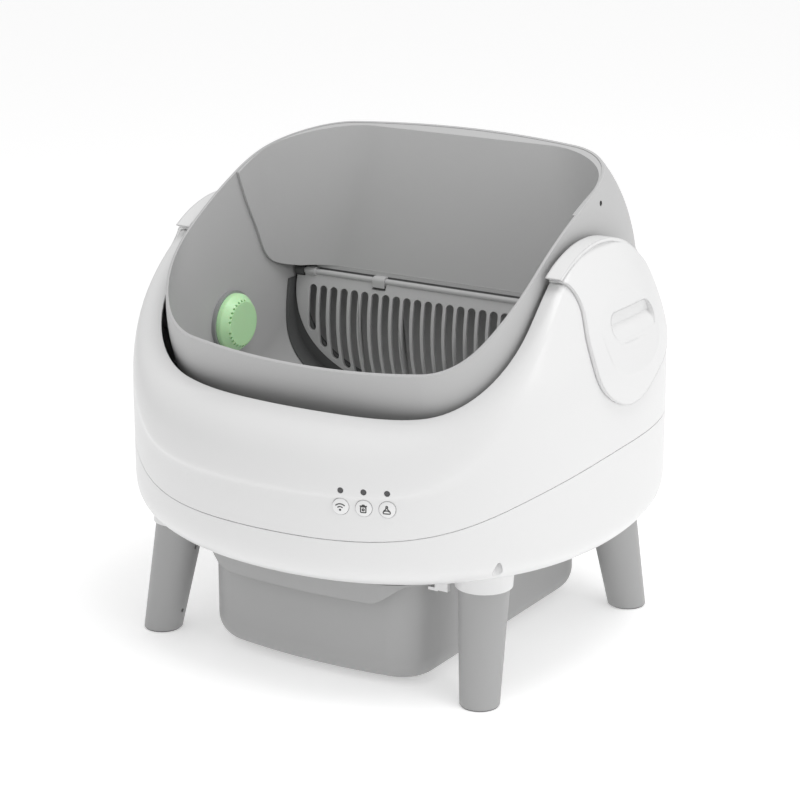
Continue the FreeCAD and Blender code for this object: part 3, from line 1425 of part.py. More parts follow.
OUTSIDE_BRACKET = "(Sizes.drum_half_width + Sizes.bracket_offset + Sizes.bracket_thickness)"
GEARBOX_LOW = "%s - Sizes.gearbox_half_span" % PINION_Z
gearbox_block = plain_box(
    "gearbox_block",
    (
        OUTSIDE_BRACKET, "%s - 20" % PINION_Y, GEARBOX_LOW,
        "Sizes.gearbox_depth", "40", "2 * Sizes.gearbox_half_span",
    ),
)
gearbox_hole = plain_cylinder(
    "gearbox_hole", X_AXIS, (OUTSIDE_BRACKET + " - 1", str(PINION_Y), str(PINION_Z), "4.05", "11")
)
joined("Part::Cut", "gearbox_housing", (gearbox_block, gearbox_hole))
MOTOR_X = OUTSIDE_BRACKET + " + 0.5 * Sizes.gearbox_depth"
motor_can = plain_cylinder(
    "motor_can", Z_AXIS,
    (
        MOTOR_X, str(PINION_Y), GEARBOX_LOW + " - Sizes.motor_length",
        "0.5 * Sizes.gearbox_depth", "Sizes.motor_length",
    ),
)
motor_cap = plain_cylinder(
    "motor_cap", Z_AXIS, (MOTOR_X, str(PINION_Y), GEARBOX_LOW + " - Sizes.motor_length - 3", "5", "4")
)
joined("Part::MultiFuse", "drive_motor", [motor_can, motor_cap])
MAGNET_Y = "Sizes.hub_depth + 40"
MAGNET_Z = "Sizes.hub_height - 33"
magnet = plain_cylinder(
    "drum_magnet", X_AXIS, ("-Sizes.drum_half_width - Sizes.hub_flange_thickness", MAGNET_Y, MAGNET_Z, "5",
    "Sizes.hub_flange_thickness"),
)
keep(magnet, "drum_magnet")
sensor = plain_box(
    "position_sensor",
    ("-" + BRACKET_FORMULA, MAGNET_Y + " - 6", MAGNET_Z + " - 7", "9", "12", "14"),
)
keep(sensor, "position_sensor")
board = plain_box(
    "board_plate",
    (
        str(-BOARD_HALF_X), str(BOARD_Y - BOARD_HALF_Y), str(BOARD_Z), str(2 * BOARD_HALF_X),
        str(2 * BOARD_HALF_Y), str(BOARD_THICKNESS),
    ),
)
board_chip = plain_box("board_chip", ("-12", str(BOARD_Y - 12), str(BOARD_Z), "20", "20", "4"))
board_plug = plain_box("board_plug", ("30", str(BOARD_Y + 4), str(BOARD_Z), "18", "10", "10"))
board_can = plain_cylinder(
    "board_can", Z_AXIS, (str(-BOARD_HALF_X + 22), str(BOARD_Y + 6), str(BOARD_Z), "6", "14")
)
joined("Part::MultiFuse", "main_board", [board, board_chip, board_plug, board_can])
grate_rod = plain_cylinder(
    "grate_rod", X_AXIS,
    (
        "-(Sizes.drum_half_width - 6)", "Sizes.rod_depth", "Sizes.rod_height", "Sizes.rod_radius",
        "2 * (Sizes.drum_half_width - 6)",
    ),
)
keep(grate_rod, "grate_rod")
for name, sign_x, sign_y in LEG_SIGNS:
    pad_body = new_body("foot_pad_" + name)
    centre = ("%d * Sizes.leg_foot_x" % sign_x, "%d * Sizes.leg_foot_y" % sign_y)
    ring_pad(
        pad_body, "pad_disc_" + name, "0", "Sizes.foot_pad_height", ("Sizes.leg_foot_radius - 1.2",),
        centre, role="XY_Plane",
    )
    ring_pad(
        pad_body, "pad_plug_" + name, "1", "Sizes.foot_pad_height + 3", (str(PLUG_R),), centre, role="XY_Plane"
    )

doc.recompute()
bad = [obj.Label for obj in doc.Objects if "Invalid" in obj.State or "Error" in obj.State]
for piece in nodes:
    if piece.Shape.isNull() or not piece.Shape.isValid():
        bad.append(piece.Label)
if bad:
    raise RuntimeError("not built: " + ", ".join(bad))
os.makedirs("parts", exist_ok=True)
for piece in nodes:
    piece.Shape.exportStep("parts/%s.step" % piece.Label)
print("pieces written:", len(nodes))
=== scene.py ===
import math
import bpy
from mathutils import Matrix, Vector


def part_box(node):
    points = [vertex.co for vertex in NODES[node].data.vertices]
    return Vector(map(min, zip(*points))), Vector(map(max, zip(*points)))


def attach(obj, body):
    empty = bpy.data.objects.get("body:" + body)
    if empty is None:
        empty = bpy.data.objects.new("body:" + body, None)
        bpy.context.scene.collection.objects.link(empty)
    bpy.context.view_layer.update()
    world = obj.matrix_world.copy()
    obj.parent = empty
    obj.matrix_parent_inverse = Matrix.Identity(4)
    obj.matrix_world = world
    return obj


bl_info = {
    "name": "Top-loading litter box",
    "version": (1, 0, 0),
    "blender": (4, 5, 0),
    "location": "View3D > Sidebar > Litter box",
    "description": "Dresses a turning-drum litter box with its finishes, button marks and studio",
    "category": "Object",
}

import bmesh
import bpy
from bpy.props import FloatProperty, FloatVectorProperty
from mathutils import Vector

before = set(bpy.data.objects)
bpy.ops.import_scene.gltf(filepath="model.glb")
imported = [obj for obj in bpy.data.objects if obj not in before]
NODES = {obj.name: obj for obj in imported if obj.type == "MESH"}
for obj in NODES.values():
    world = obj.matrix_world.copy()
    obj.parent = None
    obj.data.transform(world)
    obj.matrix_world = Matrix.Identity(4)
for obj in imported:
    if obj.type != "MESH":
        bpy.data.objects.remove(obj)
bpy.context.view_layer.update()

MM = 0.001
BUTTONS = ("connect_button", "bin_button", "clean_button")
CORNERS = ("front_left", "front_right", "rear_left", "rear_right")
# The control panel's outward direction, and the two directions along it.
PANEL_OUT = Vector((0.3206, -0.9472, 0.0)).normalized()
PANEL_UP = Vector((0.0, 0.0, 1.0))
PANEL_SIDE = PANEL_UP.cross(PANEL_OUT) * -1.0
# The radius of a button's domed face.
BUTTON_DOME = 26.0 * MM
# A mark's stroke width and its longest straight run, both in halves of the mark's height.
MARK_STROKE = 0.26
LONGEST_RUN = 0.2
# The lip under the back panel, measured from the middle of the grate's rod.
SEAL_BEHIND_ROD = 3.6 * MM
SEAL_OVER_ROD = 4.0 * MM
SEAL_HEIGHT = 5.2 * MM
SEAL_WALL = 0.8 * MM
SEAL_EDGE = 0.25 * MM
SEAL_HALF_LENGTH = 168.0 * MM

GROUPS = {}
MATERIALS = {}


def colour_property(name, description, default):
    return FloatVectorProperty(
        name=name, description=description, default=default, size=3, min=0.0, max=1.0, subtype="COLOR"
    )


class LitterBoxSettings(bpy.types.PropertyGroup):
    """Colours and sizes that a user of the model would change."""

    shell_colour: colour_property("Casing colour", "Colour of the casing and side covers", (0.76, 0.76, 0.76))
    drum_colour: colour_property("Drum colour", "Colour of the drum and its back panel", (0.50, 0.50, 0.50))
    base_colour: colour_property("Drawer colour", "Colour of the drawer and the legs", (0.37, 0.37, 0.37))
    grate_colour: colour_property(
        "Grate colour", "Colour of the grate, its rod and clips", (0.52, 0.52, 0.52)
    )
    puck_colour: colour_property("Deodorizer colour", "Colour of the deodorizer's cap", (0.58, 0.92, 0.52))
    mark_colour: colour_property("Mark colour", "Colour of the marks on the buttons", (0.05, 0.05, 0.05))
    mark_size: FloatProperty(
        name="Mark size", description="Half height of a button's mark", default=0.0040, min=0.001, max=0.008,
        unit="LENGTH",
    )
    mark_rise: FloatProperty(
        name="Mark rise", description="How far a mark stands out of its button", default=0.00012, min=0.00001,
        max=0.001, unit="LENGTH",
    )
    edge_radius: FloatProperty(
        name="Edge radius", description="How round the moulded edges look", default=0.0009, min=0.0,
        max=0.005, unit="LENGTH",
    )
    cover_edge_radius: FloatProperty(
        name="Cover edge radius", description="How round the edges of the side covers look", default=0.003,
        min=0.0, max=0.01, unit="LENGTH",
    )
    softbox_power: FloatProperty(
        name="Softbox power", description="Power of the main light in watts", default=17.0, min=0.0,
        max=1000.0,
    )


def settings():
    return bpy.context.scene.litter_box


def new_socket(tree, name, kind, in_out, default=None):
    socket = tree.interface.new_socket(name=name, in_out=in_out, socket_type=kind)
    if default is not None:
        socket.default_value = default
    return socket


def math_node(tree, operation, first, second=None):
    """A maths node whose inputs are numbers or other nodes' sockets."""
    node = tree.nodes.new("ShaderNodeMath")
    node.operation = operation
    for place, value in enumerate((first, second)):
        if value is None:
            continue
        if isinstance(value, (int, float)):
            node.inputs[place].default_value = value
        else:
            tree.links.new(value, node.inputs[place])
    return node.outputs[0]


def moulded_skin_group():
    """Fine moulded grain, slow shifts of tone, places polished or dulled by handling, and a painted highlight
    that lightens the colour along edges.
    """
    if "moulded_skin" in GROUPS:
        return GROUPS["moulded_skin"]
    tree = bpy.data.node_groups.new("Moulded skin", "ShaderNodeTree")
    new_socket(tree, "Colour", "NodeSocketColor", "INPUT", (0.8, 0.8, 0.8, 1.0))
    new_socket(tree, "Tone shift", "NodeSocketFloat", "INPUT", 0.03)
    new_socket(tree, "Grain scale", "NodeSocketFloat", "INPUT", 2500.0)
    new_socket(tree, "Roughness", "NodeSocketFloat", "INPUT", 0.4)
    new_socket(tree, "Roughness shift", "NodeSocketFloat", "INPUT", 0.08)
    new_socket(tree, "Edge", "NodeSocketFloat", "INPUT", 0.0)
    # How much lighter the colour is painted along edges: a painted highlight.
    new_socket(tree, "Painted edge highlight", "NodeSocketFloat", "INPUT", 0.05)
    new_socket(tree, "Colour", "NodeSocketColor", "OUTPUT")
    new_socket(tree, "Roughness", "NodeSocketFloat", "OUTPUT")
    new_socket(tree, "Height", "NodeSocketFloat", "OUTPUT")
    nodes, links = tree.nodes, tree.links
    entry = nodes.new("NodeGroupInput")
    leave = nodes.new("NodeGroupOutput")
    place = nodes.new("ShaderNodeTexCoord")
    grain = nodes.new("ShaderNodeTexNoise")
    grain.inputs["Detail"].default_value = 2.0
    links.new(place.outputs["Object"], grain.inputs["Vector"])
    links.new(entry.outputs["Grain scale"], grain.inputs["Scale"])
    slow = nodes.new("ShaderNodeTexNoise")
    slow.inputs["Scale"].default_value = 7.0
    slow.inputs["Detail"].default_value = 4.0
    links.new(place.outputs["Object"], slow.inputs["Vector"])
    marks = nodes.new("ShaderNodeTexNoise")
    marks.inputs["Scale"].default_value = 38.0
    marks.inputs["Detail"].default_value = 6.0
    marks.inputs["Roughness"].default_value = 0.65
    links.new(place.outputs["Object"], marks.inputs["Vector"])

    slow_swing = math_node(tree, "SUBTRACT", slow.outputs["Fac"], 0.5)
    tone = math_node(tree, "MULTIPLY", slow_swing, entry.outputs["Tone shift"])
    grain_swing = math_node(tree, "SUBTRACT", grain.outputs["Fac"], 0.5)
    fine_tone = math_node(tree, "MULTIPLY", grain_swing, entry.outputs["Tone shift"])
    # The edge mask times this amount lightens the colour: a painted highlight along the edges.
    painted_edge_highlight = math_node(tree, "MULTIPLY", entry.outputs["Edge"], entry.outputs["Painted edge highlight"])
    tone = math_node(tree, "ADD", tone, fine_tone)
    tone = math_node(tree, "ADD", tone, painted_edge_highlight)
    tone = math_node(tree, "ADD", tone, 1.0)
    tint = nodes.new("ShaderNodeVectorMath")
    tint.operation = "SCALE"
    links.new(entry.outputs["Colour"], tint.inputs[0])
    links.new(tone, tint.inputs["Scale"])
    links.new(tint.outputs["Vector"], leave.inputs["Colour"])

    mark_swing = math_node(tree, "SUBTRACT", marks.outputs["Fac"], 0.5)
    both = math_node(tree, "ADD", mark_swing, slow_swing)
    dull = math_node(tree, "MULTIPLY", both, entry.outputs["Roughness shift"])
    rough = math_node(tree, "ADD", dull, entry.outputs["Roughness"])
    polish = math_node(tree, "MULTIPLY", entry.outputs["Edge"], -0.08)
    rough = math_node(tree, "ADD", rough, polish)
    links.new(rough, leave.inputs["Roughness"])
    links.new(grain.outputs["Fac"], leave.inputs["Height"])
    GROUPS["moulded_skin"] = tree
    return tree


def round_edge_group():
    """A mask of the sharp edges and the normal that a small rounding would give."""
    if "round_edge" in GROUPS:
        return GROUPS["round_edge"]
    tree = bpy.data.node_groups.new("Round edge", "ShaderNodeTree")
    new_socket(tree, "Radius", "NodeSocketFloat", "INPUT", 0.0008)
    new_socket(tree, "Mask", "NodeSocketFloat", "OUTPUT")
    new_socket(tree, "Normal", "NodeSocketVector", "OUTPUT")
    nodes, links = tree.nodes, tree.links
    entry = nodes.new("NodeGroupInput")
    leave = nodes.new("NodeGroupOutput")
    bevel = nodes.new("ShaderNodeBevel")
    bevel.samples = 6
    links.new(entry.outputs["Radius"], bevel.inputs["Radius"])
    geometry = nodes.new("ShaderNodeNewGeometry")
    dot = nodes.new("ShaderNodeVectorMath")
    dot.operation = "DOT_PRODUCT"
    links.new(bevel.outputs["Normal"], dot.inputs[0])
    links.new(geometry.outputs["Normal"], dot.inputs[1])
    turned = math_node(tree, "SUBTRACT", 1.0, dot.outputs["Value"])
    mask = math_node(tree, "MULTIPLY", turned, 3.0)
    links.new(mask, leave.inputs["Mask"])
    links.new(bevel.outputs["Normal"], leave.inputs["Normal"])
    GROUPS["round_edge"] = tree
    return tree


def group_node(tree, group):
    node = tree.nodes.new("ShaderNodeGroup")
    node.node_tree = group
    return node


def plastic(name, colour, roughness, grain_scale=2600.0, grain_depth=0.02 * MM, tone=0.03, shift=0.08,
            edge=0.06, coat=0.0, subsurface=0.0, metallic=0.0, radius=None):
    """A moulded or plated finish with grain, tone, handling marks, softened edges and a painted highlight
    along the edges.
    """
    if name in MATERIALS:
        return MATERIALS[name]
    material = bpy.data.materials.new(name)
    material.use_nodes = True
    tree = material.node_tree
    shader = tree.nodes["Principled BSDF"]
    rim = group_node(tree, round_edge_group())
    rim.inputs["Radius"].default_value = radius or settings().edge_radius
    skin = group_node(tree, moulded_skin_group())
    skin.inputs["Colour"].default_value = (*colour, 1.0)
    skin.inputs["Tone shift"].default_value = tone
    skin.inputs["Grain scale"].default_value = grain_scale
    skin.inputs["Roughness"].default_value = roughness
    skin.inputs["Roughness shift"].default_value = shift
    # edge is how much lighter the colour is painted along the edges: a painted highlight.
    skin.inputs["Painted edge highlight"].default_value = edge
    bump = tree.nodes.new("ShaderNodeBump")
    bump.inputs["Strength"].default_value = 0.35
    bump.inputs["Distance"].default_value = grain_depth
    tree.links.new(rim.outputs["Mask"], skin.inputs["Edge"])
    tree.links.new(rim.outputs["Normal"], bump.inputs["Normal"])
    tree.links.new(skin.outputs["Height"], bump.inputs["Height"])
    tree.links.new(skin.outputs["Colour"], shader.inputs["Base Color"])
    tree.links.new(skin.outputs["Roughness"], shader.inputs["Roughness"])
    tree.links.new(bump.outputs["Normal"], shader.inputs["Normal"])
    shader.inputs["Metallic"].default_value = metallic
    shader.inputs["Coat Weight"].default_value = coat
    shader.inputs["Coat Roughness"].default_value = 0.12
    shader.inputs["Subsurface Weight"].default_value = subsurface
    shader.inputs["Subsurface Scale"].default_value = 2.0 * MM
    MATERIALS[name] = material
    return material


def white_plastic(name, radius):
    """The satin white of the casing and of its side covers."""
    return plastic(
        name, settings().shell_colour, roughness=0.34, grain_scale=3200.0, grain_depth=0.008 * MM,
        tone=0.015, shift=0.06, edge=0.02, coat=0.08, radius=radius,
    )


def grey_plastic(name, colour, edge):
    """The fine-grained grey of the drum, and of the drawer and legs."""
    return plastic(
        name, colour, roughness=0.46, grain_scale=2200.0, grain_depth=0.03 * MM, tone=0.05, shift=0.10,
        edge=edge,
    )


def casing_plastic():
    return white_plastic("Casing plastic", settings().edge_radius)


def drum_plastic():
    # The edge value 0.35 paints a highlight along the drum's rims.
    return grey_plastic("Drum plastic", settings().drum_colour, 0.35)


def base_plastic():
    return grey_plastic("Drawer plastic", settings().base_colour, 0.10)


def grate_plastic():
    # The edge value 0.50 paints a strong highlight along the slot edges.
    return plastic(
        "Grate plastic", settings().grate_colour, roughness=0.44, grain_scale=2400.0, grain_depth=0.03 * MM,
        tone=0.08, shift=0.12, edge=0.50,
    )


def steel(name, colour, roughness):
    return plastic(
        name, colour, roughness, grain_scale=900.0, grain_depth=0.01 * MM, tone=0.08, shift=0.20, edge=0.12,
        metallic=1.0,
    )


def board_material():
    """Solder mask with copper tracks under it."""
    if "Circuit board" in MATERIALS:
        return MATERIALS["Circuit board"]
    material = bpy.data.materials.new("Circuit board")
    material.use_nodes = True
    tree = material.node_tree
    shader = tree.nodes["Principled BSDF"]
    place = tree.nodes.new("ShaderNodeTexCoord")
    tracks = tree.nodes.new("ShaderNodeTexBrick")
    tracks.inputs["Scale"].default_value = 260.0
    tracks.inputs["Mortar Size"].default_value = 0.045
    tracks.inputs["Color1"].default_value = (0.012, 0.09, 0.035, 1.0)
    tracks.inputs["Color2"].default_value = (0.010, 0.075, 0.03, 1.0)
    tracks.inputs["Mortar"].default_value = (0.05, 0.19, 0.08, 1.0)
    bump = tree.nodes.new("ShaderNodeBump")
    bump.inputs["Strength"].default_value = 0.4
    bump.inputs["Distance"].default_value = 0.04 * MM
    tree.links.new(place.outputs["Object"], tracks.inputs["Vector"])
    tree.links.new(tracks.outputs["Color"], shader.inputs["Base Color"])
    tree.links.new(tracks.outputs["Fac"], bump.inputs["Height"])
    tree.links.new(bump.outputs["Normal"], shader.inputs["Normal"])
    shader.inputs["Roughness"].default_value = 0.3
    MATERIALS["Circuit board"] = material
    return material


def dress(names, material):
    """Give CAD nodes a finish through their own material slots."""
    for name in names:
        for slot in NODES[name].material_slots:
            slot.material = material


def new_piece(name, bm, material, body):
    mesh = bpy.data.meshes.new(name)
    bm.normal_update()
    bm.to_mesh(mesh)
    bm.free()
    mesh.materials.append(material)
    piece = bpy.data.objects.new(name, mesh)
    bpy.context.scene.collection.objects.link(piece)
    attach(piece, body)


def button_point(name):
    """The foremost point of a button's domed face."""
    mesh = NODES[name].data
    reach = max(vertex.co.dot(PANEL_OUT) for vertex in mesh.vertices)
    low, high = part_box(name)
    middle = (low + high) / 2
    return middle + PANEL_OUT * (reach - middle.dot(PANEL_OUT))


def on_dome(face, across, up, rise):
    """A point above a button's domed face, at a distance across and up from its middle."""
    centre = face - PANEL_OUT * BUTTON_DOME
    sag = math.sqrt(BUTTON_DOME ** 2 - across ** 2 - up ** 2)
    outward = PANEL_SIDE * across + PANEL_UP * up + PANEL_OUT * sag
    return centre + outward * ((BUTTON_DOME + rise) / BUTTON_DOME)


def stroke(points, width, closed=False):
    """Pairs of points on both sides of a line, in the flat plane of a mark."""
    pairs = []
    count = len(points)
    for place, point in enumerate(points):
        before = points[(place - 1) % count] if closed or place > 0 else point
        after = points[(place + 1) % count] if closed or place < count - 1 else point
        along = Vector(after) - Vector(before)
        along.normalize()
        side = Vector((-along.y, along.x)) * width / 2
        pairs.append((Vector(point) + side, Vector(point) - side))
    return pairs


def divided(points, closed, longest):
    """The same line with points added, so that no straight run is longer than a limit."""
    ends = points[1:] + points[:1] if closed else points[1:]
    result = []
    for point, following in zip(points, ends):
        start = Vector(point)
        run = Vector(following) - start
        parts = max(1, math.ceil(run.length / longest))
        result += [start + run * part / parts for part in range(parts)]
    if not closed:
        result.append(Vector(points[-1]))
    return result


def arc(centre, radius, start, end, steps):
    """Points along an arc, in degrees."""
    points = []
    for step in range(steps + 1):
        angle = math.radians(start + (end - start) * step / steps)
        points.append((centre[0] + radius * math.cos(angle), centre[1] + radius * math.sin(angle)))
    return points


def round_rectangle(half_x, half_y, corner, steps=4, middle=(0.0, 0.0)):
    points = []
    for turn, (sx, sy) in enumerate(((1, 1), (-1, 1), (-1, -1), (1, -1))):
        centre = (middle[0] + sx * (half_x - corner), middle[1] + sy * (half_y - corner))
        points += arc(centre, corner, 90 * turn, 90 * turn + 90, steps)
    return points


def wireless_mark():
    """Three arcs over a dot."""
    strokes = []
    for radius in (0.80, 1.45):
        strokes.append((arc((0.0, -0.75), radius, 42, 138, 12), False))
    strokes.append((arc((0.0, -0.72), 0.14, 0, 360, 12)[:-1], True))
    return strokes


def bin_mark():
    """A lidded bin with a round sign on its front."""
    strokes = [(round_rectangle(0.62, 0.68, 0.16, 4, (0.0, -0.22)), True)]
    strokes.append(([(-0.85, 0.62), (0.85, 0.62)], False))
    strokes.append(([(-0.28, 0.62), (-0.22, 0.86), (0.22, 0.86), (0.28, 0.62)], False))
    strokes.append((arc((0.0, -0.22), 0.24, 0, 360, 12)[:-1], True))
    return strokes


def brush_mark():
    """A small brush: a knob on a handle that spreads into bristles."""
    strokes = [(arc((0.0, 0.72), 0.20, 0, 360, 12)[:-1], True)]
    outline = [(0.18, 0.45), (0.30, 0.10), (0.66, -0.20), (0.84, -0.62), (0.76, -0.88), (-0.76, -0.88)]
    outline += [(-0.84, -0.62), (-0.66, -0.20), (-0.30, 0.10), (-0.18, 0.45)]
    strokes.append((outline, True))
    strokes.append(([(-0.60, -0.32), (-0.25, -0.16), (0.25, -0.16), (0.60, -0.32)], False))
    return strokes


def build_mark(name, strokes, button):
    """Lay a mark's strokes over a button's dome as thin printed ink."""
    size = settings().mark_size
    rise = settings().mark_rise
    face = button_point(button)
    bm = bmesh.new()
    for points, closed in strokes:
        pairs = stroke(divided(points, closed, LONGEST_RUN), MARK_STROKE, closed)
        rows = []
        for left, right in pairs:
            row = []
            for flat, lift in ((left, -rise), (left, rise), (right, rise), (right, -rise)):
                row.append(bm.verts.new(on_dome(face, flat.x * size, flat.y * size, lift)))
            rows.append(row)
        links = list(zip(rows, rows[1:] + rows[:1])) if closed else list(zip(rows[:-1], rows[1:]))
        for first, second in links:
            for place in range(4):
                following = (place + 1) % 4
                bm.faces.new((first[place], first[following], second[following], second[place]))
        if not closed:
            bm.faces.new(list(reversed(rows[0])))
            bm.faces.new(rows[-1])
    bmesh.ops.recalc_face_normals(bm, faces=bm.faces)
    ink = plastic(
        "Button ink", settings().mark_colour, roughness=0.5, grain_scale=3000.0, grain_depth=0.004 * MM,
        tone=0.05, shift=0.05, edge=0.0,
    )
    new_piece(name, bm, ink, button)


class LITTERBOX_OT_casing(bpy.types.Operator):
    """Finish the two shells, side covers, liner and rails"""

    bl_idname = "litterbox.casing"
    bl_label = "Casing"

    def execute(self, context):
        dress(("upper_shell", "lower_shell"), casing_plastic())
        cover_plastic = white_plastic("Cover plastic", settings().cover_edge_radius)
        dress(("side_cover_left", "side_cover_right"), cover_plastic)
        dress(("drawer_rail_left", "drawer_rail_right"), casing_plastic())
        liner = plastic(
            "Liner plastic", (0.52, 0.52, 0.515), roughness=0.5, grain_scale=2200.0, grain_depth=0.03 * MM
        )
        dress(("cradle_liner",), liner)
        return {"FINISHED"}


class LITTERBOX_OT_drum(bpy.types.Operator):
    """Finish the drum, its back panel and deodorizer"""

    bl_idname = "litterbox.drum"
    bl_label = "Drum"

    def execute(self, context):
        dress(("drum_tub", "drum_back_panel"), drum_plastic())
        base = plastic("Deodorizer base plastic", (0.30, 0.31, 0.31), roughness=0.45)
        dress(("deodorizer_base",), base)
        cap = plastic(
            "Deodorizer cap plastic", settings().puck_colour, roughness=0.38, grain_depth=0.01 * MM,
            tone=0.05, edge=0.10, coat=0.1, subsurface=0.08,
        )
        dress(("deodorizer_cap",), cap)
        return {"FINISHED"}


class LITTERBOX_OT_grate(bpy.types.Operator):
    """Finish the sifting grate, its frame, rod and clips"""

    bl_idname = "litterbox.grate"
    bl_label = "Grate"

    def execute(self, context):
        dress(("grate", "grate_clips"), grate_plastic())
        rod_plastic = plastic(
            "Rod plastic", settings().grate_colour, roughness=0.24, grain_scale=2400.0,
            grain_depth=0.005 * MM, tone=0.04, shift=0.06, edge=0.0, coat=0.3,
        )
        dress(("grate_rod",), rod_plastic)
        # The frame's near-black colour is painted shade: it stands for the shadowed gap between the drum wall
        # and the grate.
        frame_painted_shade = plastic(
            "Grate frame painted shade", (0.10, 0.102, 0.102), roughness=0.5, grain_scale=2400.0,
            grain_depth=0.03 * MM, tone=0.06,
        )
        dress(("grate_frame",), frame_painted_shade)
        return {"FINISHED"}


class LITTERBOX_OT_panel_seal(bpy.types.Operator):
    """Close the slit between the back panel and the grate's rod with a soft lip"""

    bl_idname = "litterbox.panel_seal"
    bl_label = "Panel seal"

    def execute(self, context):
        low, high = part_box("grate_rod")
        rod_middle = (low + high) / 2
        front = rod_middle.y + SEAL_BEHIND_ROD
        bottom = rod_middle.z + SEAL_OVER_ROD
        outline = [
            (front, bottom + SEAL_EDGE),
            (front + SEAL_EDGE, bottom),
            (front + SEAL_WALL - SEAL_EDGE, bottom),
            (front + SEAL_WALL, bottom + SEAL_EDGE),
            (front + SEAL_WALL, bottom + SEAL_HEIGHT),
            (front, bottom + SEAL_HEIGHT),
        ]
        bm = bmesh.new()
        ends = []
        for x in (-SEAL_HALF_LENGTH, SEAL_HALF_LENGTH):
            ends.append([bm.verts.new((x, y, z)) for y, z in outline])
        count = len(outline)
        for place in range(count):
            following = (place + 1) % count
            bm.faces.new((ends[0][place], ends[0][following], ends[1][following], ends[1][place]))
        bm.faces.new(ends[0])
        bm.faces.new(list(reversed(ends[1])))
        bmesh.ops.recalc_face_normals(bm, faces=bm.faces)
        new_piece("panel_seal", bm, drum_plastic(), "drum")
        return {"FINISHED"}


class LITTERBOX_OT_drawer_and_legs(bpy.types.Operator):
    """Finish the waste drawer, the legs and their pads"""

    bl_idname = "litterbox.drawer_and_legs"
    bl_label = "Drawer and legs"

    def execute(self, context):
        dress(("waste_drawer",), base_plastic())
        dress(["leg_" + corner for corner in CORNERS], base_plastic())
        rubber = plastic(
            "Pad rubber", (0.20, 0.20, 0.20), roughness=0.8, grain_scale=1500.0, grain_depth=0.04 * MM,
            tone=0.15, shift=0.10, edge=0.3,
        )
        dress(["foot_pad_" + corner for corner in CORNERS], rubber)
        return {"FINISHED"}


class LITTERBOX_OT_works(bpy.types.Operator):
    """Finish the drive, bearings, boards and fixings inside"""

    bl_idname = "litterbox.works"
    bl_label = "Works"

    def execute(self, context):
        nylon = plastic(
            "Natural nylon", (0.66, 0.63, 0.54), roughness=0.42, grain_scale=1800.0, grain_depth=0.01 * MM,
            tone=0.04, edge=0.1, subsurface=0.1,
        )
        dress(
            ("bearing_bush_left", "bearing_bush_right", "drum_hub_left", "drum_hub_right", "drum_ring_gear",
             "drive_pinion"),
            nylon,
        )
        zinc = steel("Zinc-plated steel", (0.60, 0.60, 0.62), 0.38)
        dress(
            ("bearing_bracket_left", "bearing_bracket_right", "drive_motor", "leg_screws", "casing_screws",
             "cover_screws", "drum_magnet"),
            zinc,
        )
        dress(("panel_screws",), steel("Blackened steel", (0.02, 0.02, 0.02), 0.45))
        black = plastic(
            "Black housing plastic", (0.028, 0.028, 0.03), roughness=0.5, grain_scale=2000.0,
            grain_depth=0.03 * MM, tone=0.1,
        )
        dress(("gearbox_housing", "power_inlet", "position_sensor", "tact_switches"), black)
        dress(("main_board", "control_board"), board_material())
        return {"FINISHED"}


class LITTERBOX_OT_controls(bpy.types.Operator):
    """Finish the push buttons and lights, and print a mark on each button"""

    bl_idname = "litterbox.controls"
    bl_label = "Controls"

    def execute(self, context):
        caps = plastic(
            "Button plastic", (0.80, 0.80, 0.80), roughness=0.28, grain_scale=3000.0, grain_depth=0.005 * MM,
            tone=0.02, shift=0.05, edge=0.03, coat=0.2,
        )
        dress(BUTTONS, caps)
        lens = plastic(
            "Smoked lens", (0.045, 0.045, 0.048), roughness=0.16, grain_scale=3000.0, grain_depth=0.003 * MM,
            tone=0.05, shift=0.04, edge=0.0, coat=0.6,
        )
        dress(("led_lenses",), lens)
        build_mark("connect_mark", wireless_mark(), "connect_button")
        build_mark("bin_mark", bin_mark(), "bin_button")
        build_mark("clean_mark", brush_mark(), "clean_button")
        return {"FINISHED"}


CAMERA_AZIMUTH = math.radians(31.925)
CAMERA_ELEVATION = math.radians(16.684)
CAMERA_DISTANCE = 2.6177
CAMERA_TARGET = Vector((-0.1020, 0.1679, 0.1697))
CAMERA_LENS = 109.07
FLOOR_SIZE = 9.0
FLOOR_GLOW = 0.33
SKY_STRENGTH = 0.67
STAGE_MIDDLE = (0.0, 0.0, 0.25)
# Each softbox: its name, place, width, height and share of the main light's power.
SOFTBOXES = (
    ("softbox_top", (0.6, -0.1, 2.3), 1.2, 1.2, 1.0),
    ("softbox_right", (2.2, -0.4, 1.2), 0.8, 1.2, 0.42),
)


def add_softbox(name, place, width, height, power):
    """A rectangular light that faces the middle of the stage."""
    light = bpy.data.lights.new(name, "AREA")
    light.shape = "RECTANGLE"
    light.size = width
    light.size_y = height
    light.energy = power
    lamp = bpy.data.objects.new(name, light)
    lamp.location = place
    lamp.rotation_mode = "QUATERNION"
    lamp.rotation_quaternion = (Vector(STAGE_MIDDLE) - Vector(place)).to_track_quat("-Z", "Y")
    bpy.context.scene.collection.objects.link(lamp)


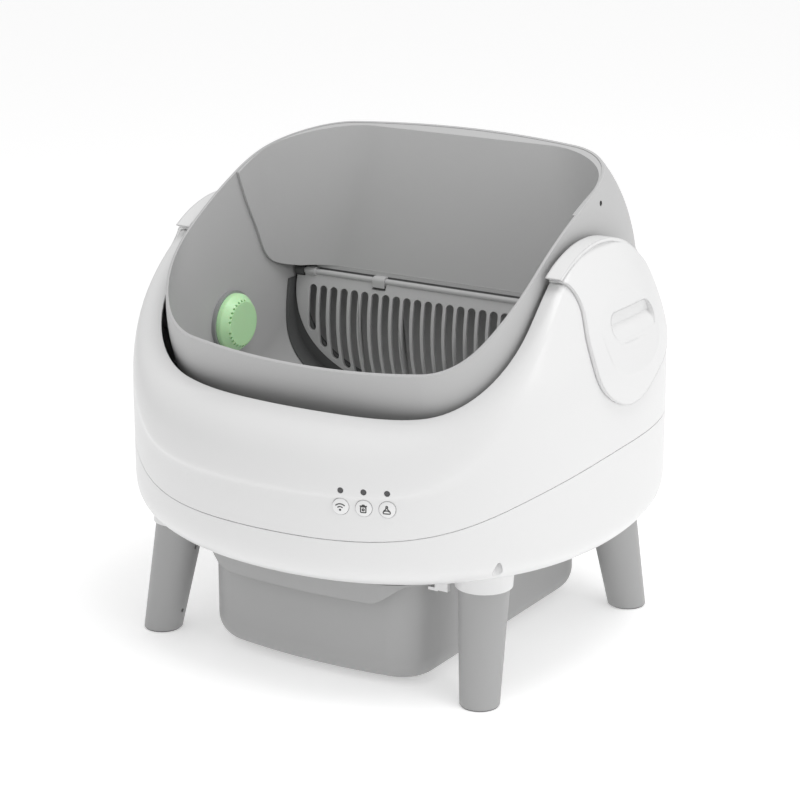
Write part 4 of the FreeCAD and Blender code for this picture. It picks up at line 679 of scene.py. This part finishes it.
class LITTERBOX_OT_stage(bpy.types.Operator):
    """Lay the pale floor, set the soft lights and place the camera"""

    bl_idname = "litterbox.stage"
    bl_label = "Stage"

    def execute(self, context):
        bm = bmesh.new()
        bmesh.ops.create_grid(bm, x_segments=1, y_segments=1, size=FLOOR_SIZE)
        mesh = bpy.data.meshes.new("studio_floor")
        bm.to_mesh(mesh)
        bm.free()
        paper = bpy.data.materials.new("Studio paper")
        paper.use_nodes = True
        shader = paper.node_tree.nodes["Principled BSDF"]
        shader.inputs["Base Color"].default_value = (0.92, 0.92, 0.92, 1.0)
        shader.inputs["Roughness"].default_value = 0.7
        shader.inputs["Emission Color"].default_value = (1.0, 1.0, 1.0, 1.0)
        shader.inputs["Emission Strength"].default_value = FLOOR_GLOW
        mesh.materials.append(paper)
        floor = bpy.data.objects.new("studio_floor", mesh)
        context.scene.collection.objects.link(floor)

        world = bpy.data.worlds.new("Studio")
        world.use_nodes = True
        sky = world.node_tree.nodes["Background"]
        sky.inputs["Color"].default_value = (1.0, 1.0, 1.0, 1.0)
        sky.inputs["Strength"].default_value = SKY_STRENGTH
        context.scene.world = world
        context.scene.view_settings.view_transform = "Standard"
        for name, place, width, height, share in SOFTBOXES:
            add_softbox(name, place, width, height, share * settings().softbox_power)

        camera_data = bpy.data.cameras.new("photo_camera")
        camera_data.lens = CAMERA_LENS
        camera_data.sensor_width = 36.0
        camera_data.clip_end = 60.0
        camera = bpy.data.objects.new("photo_camera", camera_data)
        back = Vector(
            (
                math.sin(CAMERA_AZIMUTH) * math.cos(CAMERA_ELEVATION),
                -math.cos(CAMERA_AZIMUTH) * math.cos(CAMERA_ELEVATION),
                math.sin(CAMERA_ELEVATION),
            )
        )
        camera.location = CAMERA_TARGET + back * CAMERA_DISTANCE
        camera.rotation_mode = "QUATERNION"
        camera.rotation_quaternion = (-back).to_track_quat("-Z", "Y")
        context.scene.collection.objects.link(camera)
        context.scene.camera = camera
        return {"FINISHED"}


STEPS = (
    LITTERBOX_OT_casing,
    LITTERBOX_OT_drum,
    LITTERBOX_OT_grate,
    LITTERBOX_OT_panel_seal,
    LITTERBOX_OT_drawer_and_legs,
    LITTERBOX_OT_works,
    LITTERBOX_OT_controls,
    LITTERBOX_OT_stage,
)


class LITTERBOX_PT_sidebar(bpy.types.Panel):
    """Settings and steps in the sidebar of the 3D view"""

    bl_idname = "LITTERBOX_PT_sidebar"
    bl_label = "Litter box"
    bl_space_type = "VIEW_3D"
    bl_region_type = "UI"
    bl_category = "Litter box"

    def draw(self, context):
        box = context.scene.litter_box
        for name in box.bl_rna.properties.keys():
            if name not in ("rna_type", "name"):
                self.layout.prop(box, name)
        for step in STEPS:
            self.layout.operator(step.bl_idname)


CLASSES = (LitterBoxSettings, *STEPS, LITTERBOX_PT_sidebar)


def register():
    for one in CLASSES:
        bpy.utils.register_class(one)
    bpy.types.Scene.litter_box = bpy.props.PointerProperty(type=LitterBoxSettings)


def unregister():
    del bpy.types.Scene.litter_box
    for one in reversed(CLASSES):
        bpy.utils.unregister_class(one)


def main():
    register()
    for step in STEPS:
        group, name = step.bl_idname.split(".")
        getattr(getattr(bpy.ops, group), name)()


if __name__ == "__main__":
    main()
